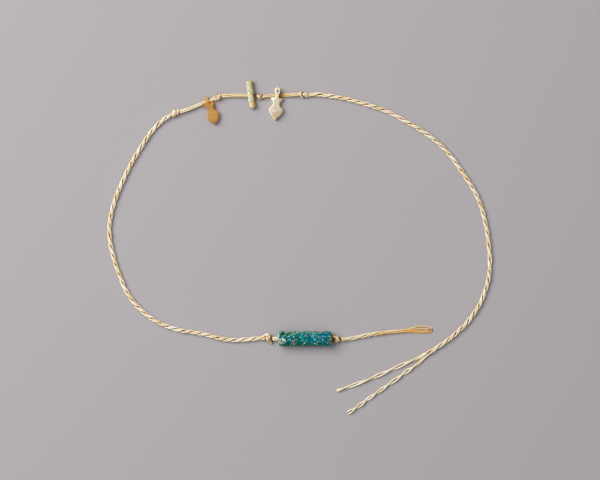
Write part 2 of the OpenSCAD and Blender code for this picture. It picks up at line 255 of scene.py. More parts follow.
class Shader:
    """A material whose nodes are made one by one.

    An input given as a socket is linked, None is left alone, anything else is set.
    """

    def __init__(self, name):
        self.material = bpy.data.materials.new(name)
        self.material.use_nodes = True
        self.tree = self.material.node_tree
        self.tree.nodes.clear()
        self.output = self.tree.nodes.new("ShaderNodeOutputMaterial")

    def node(self, kind, inputs, **settings):
        made = self.tree.nodes.new(kind)
        for name, value in settings.items():
            setattr(made, name, value)
        for key, value in inputs.items():
            if isinstance(value, bpy.types.NodeSocket):
                self.tree.links.new(value, made.inputs[key])
            elif value is not None:
                made.inputs[key].default_value = value
        return made

    def millimetres(self):
        place = self.node("ShaderNodeTexCoord", {}).outputs["Object"]
        return self.node("ShaderNodeVectorMath", {0: place, 3: 1 / MM}, operation="SCALE").outputs[0]

    def attribute(self, name, output):
        return self.node("ShaderNodeAttribute", {}, attribute_name=name).outputs[output]

    def noise(self, vector, scale, detail=4.0, roughness=0.5):
        inputs = {"Vector": vector, "Scale": scale, "Detail": detail, "Roughness": roughness}
        return self.node("ShaderNodeTexNoise", inputs).outputs[0]

    def ramp(self, factor, stops):
        made = self.node("ShaderNodeValToRGB", {"Fac": factor})
        points = made.color_ramp.elements
        while len(points) < len(stops):
            points.new(0.5)
        for point, (place, colour) in zip(points, stops):
            point.position = place
            point.color = (*tone(colour), 1) if isinstance(colour, str) else (colour,) * 3 + (1,)
        return made.outputs["Color"]

    def mix(self, factor, first, second, blend="MIX"):
        inputs = {0: factor}
        for key, value in ((6, first), (7, second)):
            inputs[key] = (*tone(value), 1) if isinstance(value, str) else value
        made = self.node("ShaderNodeMix", inputs, data_type="RGBA", blend_type=blend)
        return made.outputs[2]

    def maths(self, operation, first, second):
        return self.node("ShaderNodeMath", {0: first, 1: second}, operation=operation).outputs[0]

    def bump(self, height, strength, distance, normal=None):
        inputs = {"Height": height, "Strength": strength, "Distance": distance, "Normal": normal}
        return self.node("ShaderNodeBump", inputs).outputs[0]

    def surface(self, colour, roughness, specular=0.5, normal=None, **more):
        inputs = {"Base Color": colour, "Roughness": roughness, "Specular IOR Level": specular,
                  "Normal": normal, **more}
        made = self.node("ShaderNodeBsdfPrincipled", inputs)
        self.tree.links.new(made.outputs[0], self.output.inputs["Surface"])


def linen_material(name, pale, tan, stained, shade, deepest_shade):
    """Spun linen: pale, with streaks and stains where marked, painted tan shade within and brown shade in
    grooves.
    """
    shader = Shader(name)
    fibre = shader.attribute("fibre", "Vector")
    streaks = shader.noise(fibre, scale=1.0, detail=5, roughness=0.65)
    hairs = shader.noise(fibre, scale=3.2, detail=3, roughness=0.7)
    patches = shader.noise(shader.millimetres(), scale=0.28, detail=4, roughness=0.6)
    stain_and_shade, depth, groove = (shader.attribute(key, "Fac") for key in ("stain", "depth", "groove"))
    colour = pale
    # Each layer: what it follows, the values at which it starts and is full, its strength then, its colour
    # Depth and groove are painted shade, deep inside the cord and in grooves between yarns; the stain is
    # partly painted shade where a cord marks it so
    for source, start, full, strength, over in [
            (patches, 0.40, 0.70, 0.6, tan), (stain_and_shade, 0.0, 0.5, 1.0, tan), (streaks, 0.42, 0.74, 0.55, tan),
            (stain_and_shade, 0.5, 1.0, 1.0, stained), (depth, 0.12, 0.55, 0.9, tan), (depth, 0.55, 0.85, 1.0, stained),
            (groove, 0.35, 1.0, 1.0, shade)]:
        colour = shader.mix(shader.ramp(source, [(start, 0.0), (full, strength)]), colour, over)
    # Painted shadow: past 1, a groove goes on towards near black
    colour = shader.mix(shader.maths("SUBTRACT", groove, 1.0), colour, deepest_shade)
    normal = shader.bump(streaks, 0.55, 0.10 * MM)
    normal = shader.bump(hairs, 0.35, 0.04 * MM, normal)
    shader.surface(colour, 0.55, 0.2, normal)
    return shader.material


def painted_material(name, grain_scale, grain, roughness, bump, specular=0.25, glow=None):
    """Stone or glaze: the colours laid on its mesh, broken up by grain. Glow is how far light enters."""
    shader = Shader(name)
    place = shader.millimetres()
    speckle = shader.noise(place, scale=grain_scale, detail=5, roughness=0.6)
    cloud = shader.noise(place, scale=grain_scale * 0.22, detail=3)
    colour = shader.attribute("paint", "Color")
    for source, start, full, dimming in [(speckle, 0.3, 0.62, grain), (cloud, 0.35, 0.65, grain / 2)]:
        shading = shader.ramp(source, [(start, 1.0 - dimming), (full, 1.0)])
        colour = shader.mix(1.0, colour, shading, "MULTIPLY")
    rough = shader.ramp(speckle, [(0.3, roughness + 0.12), (0.7, roughness - 0.08)])
    normal = shader.bump(speckle, bump, 0.06 * MM)
    more = {"Subsurface Weight": 0.06, "Subsurface Radius": glow} if glow else {}
    shader.surface(colour, rough, specular, normal, **more)
    return shader.material


# Paths
def distances_along(line):
    """How far along a line of points each of them is."""
    return np.r_[0, np.cumsum(np.linalg.norm(np.diff(line, axis=0), axis=1))]


def smooth_path(points, step):
    """Even points on a Catmull-Rom curve through the given ones, and their distances along it."""
    known = np.array(points, float)
    ends = np.vstack([2 * known[0] - known[1], known, 2 * known[-1] - known[-2]])
    fine = []
    t = np.linspace(0, 1, 40, endpoint=False)[:, None]
    for a, b, c, d in zip(ends[:-3], ends[1:-2], ends[2:-1], ends[3:]):
        fine.append(0.5 * (2 * b + (c - a) * t + (2 * a - 5 * b + 4 * c - d) * t ** 2
                           + (3 * b - 3 * c + d - a) * t ** 3))
    fine = np.vstack(fine + [known[-1:]])
    run = distances_along(fine)
    along = np.linspace(0, run[-1], max(3, round(run[-1] / step) + 1))
    return np.stack([np.interp(along, run, column) for column in fine.T], 1), along


def units(vectors):
    return vectors / np.maximum(np.linalg.norm(vectors, axis=-1, keepdims=True), 1e-12)


def level_frame(line):
    """Level side and upward vector at each point of a path that lies on the surface."""
    ahead = units(np.gradient(line, axis=0))
    side = units(np.cross([0, 0, 1.0], ahead))
    return side, np.cross(ahead, side)


def turning_frame(line):
    """Two cross vectors at each point of any path, which turn as little as they can along it."""
    ahead = units(np.gradient(line, axis=0))
    first = np.zeros_like(line)
    start = np.cross(ahead[0], [0, 0, 1.0])
    first[0] = units(start if np.linalg.norm(start) > 1e-3 else np.cross(ahead[0], [1.0, 0, 0]))
    for i in range(1, len(line)):
        kept = first[i - 1] - ahead[i] * (first[i - 1] @ ahead[i])
        first[i] = kept / max(np.linalg.norm(kept), 1e-12)
    return first, np.cross(ahead, first)


def wander(along, middle, share, wavelength, seed):
    """A value that drifts smoothly round a middle, by about its share; the wavelength in millimetres."""
    rng = random.Random(seed)
    waves = [(1.0, 0.5), (1.73, 0.3), (2.9, 0.2)]
    drift = sum(w * np.sin(math.tau * (along * f / (wavelength * MM) + rng.random())) for f, w in waves)
    return middle + share * drift


def follow(table, place):
    """The value at each place, between those of a table of places and values."""
    return np.interp(place, *zip(*table))


def rotated(x, y, degrees):
    """Two coordinates turned to the left about the origin."""
    c, s = math.cos(math.radians(degrees)), math.sin(math.radians(degrees))
    return c * x - s * y, s * x + c * y


def eased(x):
    """A smooth step: 0 up to 0, 1 from 1 on."""
    x = np.clip(x, 0, 1)
    return x * x * (3 - 2 * x)


# Yarn meshes
def tube_points(line, reach, sides):
    """Rings of points round a path, at a distance from it given for each point."""
    first, second = turning_frame(line)
    angle = np.linspace(0, math.tau, sides, endpoint=False)[None, :]
    ring = first[:, None] * np.cos(angle)[..., None] + second[:, None] * np.sin(angle)[..., None]
    return line[:, None] + ring * reach[..., None]


def tube_faces(rings, sides, base=0, closed=False):
    """Faces between rings of points, then the two flat ends; a closed tube runs back into its first ring."""
    ring = np.arange(sides)
    after = (ring + 1) % sides
    faces = []
    for i in range(rings if closed else rings - 1):
        here, there = base + i * sides, base + (i + 1) % rings * sides
        faces += np.stack([here + ring, here + after, there + after, there + ring], 1).tolist()
    if not closed:
        faces += [(base + ring[::-1]).tolist(), (base + (rings - 1) * sides + ring).tolist()]
    return faces


class Yarns:
    """Collects spun yarns as tubes with fibre relief, and makes one mesh of them."""

    SIDES = 12
    SPIN = 4.2 * MM
    INNER_REACH = 0.84 * MM
    LEAST_HEIGHT = 0.03 * MM
    HAIR_RADII = np.array([0.020, 0.019, 0.017, 0.014, 0.008]) * MM

    def __init__(self, reach=0.26 * MM):
        """Reach is the gap to the next yarn at which the painted shade of a groove begins."""
        self.tubes = []
        self.reach = reach

    def add(self, line, radius, seed, stain=0.0, painted_shade=0.0, axis=None):
        """Radius, stain and painted shade are one value, or one for each point; axis is the middle of the
        cord.
        """
        along = distances_along(line)
        radius = np.broadcast_to(radius, (len(line),)) * wander(along, 1, 0.07, 3.1, seed)
        angle = np.linspace(0, math.tau, self.SIDES, endpoint=False)[None, :]
        spin = math.tau * along[:, None] / self.SPIN + seed
        relief = 0.055 * np.sin(3 * angle + 3 * spin) + 0.035 * np.sin(5 * angle + 5 * spin + 2 * seed)
        ends = eased(np.minimum(along, along[-1] - along)[:, None] / (0.25 * MM) + 0.35)
        points = tube_points(line, radius[:, None] * (1 + relief) * ends, self.SIDES)
        # Depth: painted shade deep inside the cord, near its axis
        depth = np.full(points.shape[:2], 0.2)
        if axis is not None:
            inside = self.INNER_REACH - np.linalg.norm(points - axis[:, None], axis=2)
            depth = np.clip(inside / (0.5 * MM), 0, 1)
        swirl = angle + spin
        run = np.broadcast_to(along[:, None] / MM * 0.45, swirl.shape) + 17.3 * seed
        self.tubes.append({
            "line": line, "along": along, "radius": radius, "points": points, "depth": depth,
            "fibre": np.stack([run, 2.4 * np.cos(swirl), 2.4 * np.sin(swirl)], -1),
            "stain": np.broadcast_to(stain, (len(line),)),
            "painted_shade": np.broadcast_to(painted_shade, (len(line),))[:, None],
        })

    def groove(self, tube, index):
        """How close each point of a tube is to another yarn, or to another turn of its own: where shade is
        painted.
        """
        margin, own_turn, far, block = 1.2 * MM, 1.6 * MM, 1.0, 24
        closeness = []
        for start in range(0, len(tube["line"]), block):
            rings = tube["points"][start:start + block]
            flat = rings.reshape(-1, 3)
            low, high = flat.min(0) - margin, flat.max(0) + margin
            nearest = np.full(len(flat), far)
            here = np.repeat(tube["along"][start:start + block], rings.shape[1])
            for other_index, other in enumerate(self.tubes):
                near = ((other["line"] > low) & (other["line"] < high)).all(1)
                if not near.any():
                    continue
                gap = np.linalg.norm(flat[:, None] - other["line"][near][None], axis=2)
                gap = gap - other["radius"][near][None]
                if other_index == index:
                    same = np.abs(here[:, None] - other["along"][near][None]) < own_turn
                    gap = np.where(same, far, gap)
                nearest = np.minimum(nearest, gap.min(1))
            closeness.append(np.clip(1 - nearest / self.reach, 0, 1).reshape(rings.shape[:2]))
        return np.concatenate(closeness)

    def build(self, name, material, fuzz=0, seed=1):
        """One mesh of all the yarns and a number of hairs, marked with what its material reads."""
        faces, base = [], 0
        marks = {"points": [], "fibre": [], "stain": [], "groove": [], "depth": []}
        for index, tube in enumerate(self.tubes):
            count, sides = tube["points"].shape[:2]
            faces += tube_faces(count, sides, base)
            for key in ("points", "fibre"):
                marks[key].append(tube[key].reshape(-1, 3))
            marks["stain"].append(np.repeat(tube["stain"], sides))
            # Painted shade: in grooves between yarns, or as dark as marked on the tube
            marks["groove"].append(np.maximum(self.groove(tube, index), tube["painted_shade"]).ravel())
            marks["depth"].append(tube["depth"].ravel())
            base += count * sides
        for hair in self.hairs(fuzz, seed):
            count = len(hair)
            faces += tube_faces(count // 3, 3, base)
            marks["points"].append(hair)
            marks["fibre"].append(np.tile([base * 0.37, 0, 0], (count, 1)))
            for key in ("stain", "groove", "depth"):
                marks[key].append(np.zeros(count))
            base += count
        made = mesh_object(name, np.concatenate(marks.pop("points")), faces, material)
        for key, values in marks.items():
            kind = "FLOAT_VECTOR" if key == "fibre" else "FLOAT"
            set_attribute(made, key, kind, np.concatenate(values))
        return made

    def hairs(self, count, seed):
        """Short loose fibres, as thin three-sided tubes that start inside a yarn."""
        rng = random.Random(seed)
        steps = np.linspace(0, 1, len(self.HAIR_RADII))[:, None]
        for _ in range(count):
            tube = self.tubes[rng.randrange(len(self.tubes))]
            rings, sides = tube["points"].shape[:2]
            i, k = rng.randrange(1, rings - 1), rng.randrange(sides)
            root = tube["line"][i]
            out = units(tube["points"][i, k] - root)
            ahead = units(tube["line"][i + 1] - tube["line"][i - 1]) * rng.choice((-1, 1))
            turn = np.cross(out, ahead) * rng.uniform(-0.8, 0.8)
            length = rng.uniform(0.45, 1.1) * MM
            curl = ahead * steps * length * rng.uniform(0.5, 1.0)
            bow = np.sin(steps * math.pi * 0.7) * length * rng.uniform(0.1, 0.4)
            line = root + out * (tube["radius"][i] * 0.8 + bow) + curl + turn * steps ** 2 * length * 0.6
            line[:, 2] = np.maximum(line[:, 2], self.LEAST_HEIGHT)
            yield tube_points(line, np.tile(self.HAIR_RADII[:, None], 3), 3).reshape(-1, 3)


def mesh_object(name, points, faces, material):
    """A smooth object of points and faces, with its material."""
    made = bare_object(name, points.tolist(), faces)
    made.data.polygons.foreach_set("use_smooth", [True] * len(faces))
    made.data.materials.append(material)
    made.data.update()
    return made


def set_attribute(made, name, kind, values):
    attribute = made.data.attributes.new(name, kind, "POINT")
    key = {"FLOAT": "value", "FLOAT_VECTOR": "vector", "FLOAT_COLOR": "color"}[kind]
    attribute.data.foreach_set(key, np.asarray(values, np.float32).ravel())


def settle(line, radius):
    """Lifts a yarn's middle line so that it lies on the surface and not in it."""
    line[:, 2] = np.maximum(line[:, 2], radius * 0.97)
    return line


def turns_through(along, crossings, before=None, after=None):
    """Angle of the first strand, which lies straight above or below the other at each of the given distances.

    Before and after are the lengths of half a turn ahead of the first crossing and past the last one.
    """
    marks, lead = np.array(crossings), 4
    first, last = before or marks[1] - marks[0], after or marks[-1] - marks[-2]
    marks = np.r_[marks[0] - lead * first, marks, marks[-1] + lead * last] * MM
    angles = math.pi * (0.5 + np.r_[-lead, np.arange(len(crossings)), len(crossings) - 1 + lead])
    return -np.interp(along, marks, angles)


def twisted(line, phase, strand_gap, yarn_gap, radius, lean):
    """Middle lines of four yarns: two strands of two yarns each, laid round the path by phase.

    Lean tips the upper yarn of a strand inwards, over the gap between the strands.
    """
    side, up = level_frame(line)
    phase, strand_gap, yarn_gap, lean, radius = (
        np.broadcast_to(v, (len(line),))[:, None] for v in (phase, strand_gap, yarn_gap, lean, radius))
    laid = []
    for strand in (0, 1):
        turn = phase + math.pi * strand
        middle = line + strand_gap * (np.cos(turn) * side + np.sin(turn) * up)
        across = turn + math.pi / 2 + lean * np.cos(turn)
        for half in (-1, 1):
            place = middle + half * yarn_gap * (np.cos(across) * side + np.sin(across) * up)
            laid.append(settle(place, radius[:, 0]))
    return laid


# Cords
def finish_piece(made, nodes):
    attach(made, BODY)
    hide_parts(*nodes)


def finish_cord(made, nodes, route, line, along):
    """Attaches a cord and hides its parts; points of its middle line, about 1.5 mm apart, are picked but not
    used.
    """
    finish_piece(made, nodes)
    count = max(4, round(along[-1] / (1.5 * MM)))
    picked = np.linspace(0, len(line) - 1, count).round().astype(int)
    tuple(route[0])
    [tuple(float(v) for v in line[i]) for i in picked]


def long_cord(node, route, crossings, after, seed, far_end, material):
    """A whole long cord; returns its yarns' lines, those of the strand that ends at its left first."""
    line, along = smooth_path(route, 0.25 * MM)
    side, _ = level_frame(line)
    line = line + side * wander(along, 0, 0.07 * MM, 17, seed)[:, None]
    phase = wander(along, turns_through(along, crossings, after=after), 0.25, 13, seed + 1)
    from_end = along if far_end == "object" else np.minimum(along, along[-1] - along)
    narrowing = 0.6 + 0.4 * eased(from_end / (2.5 * MM))
    strand_gap = wander(along, 0.54, 0.04, 23, seed + 2) * MM * narrowing
    lean = wander(along, 0.04, 0.30, 7, seed + 3)
    radius = wander(along, 0.292, 0.015, 29, seed + 4) * MM
    stain = wander(along, 0.12, 0.16, 15, seed + 5)
    laid = twisted(line, phase, strand_gap, 0.31 * MM, radius, lean)
    yarns = Yarns()
    for k, place in enumerate(laid):
        own = wander(along, stain, 0.09, 9, seed + 6 + k)
        yarns.add(place, radius, seed + k, np.clip(own, 0, 1), axis=line)
    made = yarns.build(node + "_yarns", material, fuzz=220, seed=seed)
    finish_cord(made, [node], route, line, along)
    return laid if math.cos(phase[-1]) > 0 else laid[2:] + laid[:2]


def tail_cord(node, route, crossings, before, gaps, parted, starts, seed, material):
    """Two yarns that run on from a strand of the right cord, cross where told and stand apart between.

    Parted is the distance along the route by which they have left the other strand.
    """
    line, along = smooth_path(route, 0.22 * MM)
    side, up = level_frame(line)
    turns = turns_through(along, crossings, before)
    spread = follow(gaps, along / MM) * MM * wander(along, 1, 0.08, 12, seed)
    kept, overlap = along > parted * MM, 7
    yarns = Yarns()
    for k in (0, 1):
        turn = turns + math.pi * k
        place = line + side * (spread * np.cos(turn))[:, None]
        place = place + up * (np.minimum(spread, 0.33 * MM) * np.sin(turn))[:, None]
        place, run = smooth_path(np.vstack([starts[k][-overlap:], place[kept]]), 0.22 * MM)
        thick = 0.32 * MM * (0.90 + 0.10 * eased(run / (3 * MM)))
        stain = wander(run, 0.13, 0.16, 11, seed + k)
        yarns.add(settle(place, thick), thick, seed + k, np.clip(stain, 0, 1))
    made = yarns.build(node + "_yarns", material, fuzz=60, seed=seed)
    finish_cord(made, [node], route, line, along)


def top_cord(material):
    """The cord that carries the amulets: four yarns nearly side by side, thinner past the orange nefer."""
    line, along = smooth_path(TOP_ROUTE, 0.22 * MM)
    x = line[:, 0] / MM
    thick, brown, shaded = (follow(table, x) for table in (TOP_THICKNESS, TOP_BROWN_AND_SHADE, TOP_SHADE))
    line[:, 1] -= 0.12 * MM * follow(TOP_SAG, x)
    phase = wander(along, -1.0 - math.tau * along / SLOW_TURN, 0.25, 11, 5)
    radius = 0.32 * MM * thick ** 0.5
    laid = twisted(line, phase, 0.50 * MM * thick, 0.335 * MM * thick ** 0.5, radius, 0.2)
    yarns = Yarns(reach=0.38 * MM)
    for k, place in enumerate(laid):
        # Brown is partly, and shaded wholly, painted shade
        yarns.add(place, radius, 40 + k, brown, shaded)
    made = yarns.build("top_cord_yarns", material, fuzz=50, seed=12)
    nodes = ["top_cord_1", "top_cord_2", "top_cord_3"]
    finish_cord(made, nodes, TOP_ROUTE, line, along)


def tie_cord(material):
    """The cord right of the bead. Its four yarns run on as two nested bights, the loop that closes it all."""
    line, along = smooth_path(TIE_ROUTE, 0.22 * MM)
    thick = follow(TIE_THICKNESS, along / along[-1])
    radius = 0.30 * MM * thick ** 0.35
    phase = -math.pi * follow(TIE_HALF_TURNS, along / MM)
    laid = twisted(line, phase, 0.52 * MM * thick, radius, radius, 0.1)
    yarns = Yarns(reach=0.36 * MM)
    blend = 8
    bights = ((71, OUTER_BIGHT, laid[0], laid[3]), (72, INNER_BIGHT, laid[1], laid[2]))
    for seed, bight, first, last in bights:
        whole, run = smooth_path(np.vstack([first[:-blend], bight, last[:-blend][::-1]]), 0.2 * MM)
        x, y = whole[:, 0] / MM, whole[:, 1] / MM
        thin = follow(LOOP_RADII, x) * MM
        # The lower side of the cord is painted more golden: painted shade away from the light
        below = (np.interp(whole[:, 0], line[:, 0], line[:, 1]) - whole[:, 1]) / (0.45 * MM)
        gold_and_shade = wander(run, follow(LOOP_GOLD, x), 0.20, 9, seed) + 0.26 * np.clip(below, -1, 1)
        # Painted shadow on the outer bight's right bend
        bend_shadow = eased((x - 53.7) / 0.6) * eased((0.62 - np.abs(y + 34.4)) / 0.3)
        yarns.add(settle(whole, thin), thin, seed, np.clip(gold_and_shade, 0, 1), 1.15 * bend_shadow)
    made = yarns.build("tie_cord_yarns", material, fuzz=50, seed=13)
    path, run = smooth_path(TIE_ROUTE + LOOP_MIDDLE, 0.5 * MM)
    finish_cord(made, ["tie_cord", "closing_loop"], TIE_ROUTE, path, run)


def bead_cord(material):
    """The four yarns inside the crumb bead."""
    line, along = smooth_path(BEAD_CORD_ROUTE, 0.25 * MM)
    radius = 0.30 * MM
    phase = -0.2 - math.tau * along / SLOW_TURN
    yarns = Yarns()
    for k, place in enumerate(twisted(line, phase, 0.42 * MM, radius, radius, 0.4)):
        yarns.add(place, radius, 80 + k, 0.1)
    made = yarns.build("bead_cord_yarns", material)
    finish_piece(made, ["bead_cord"])
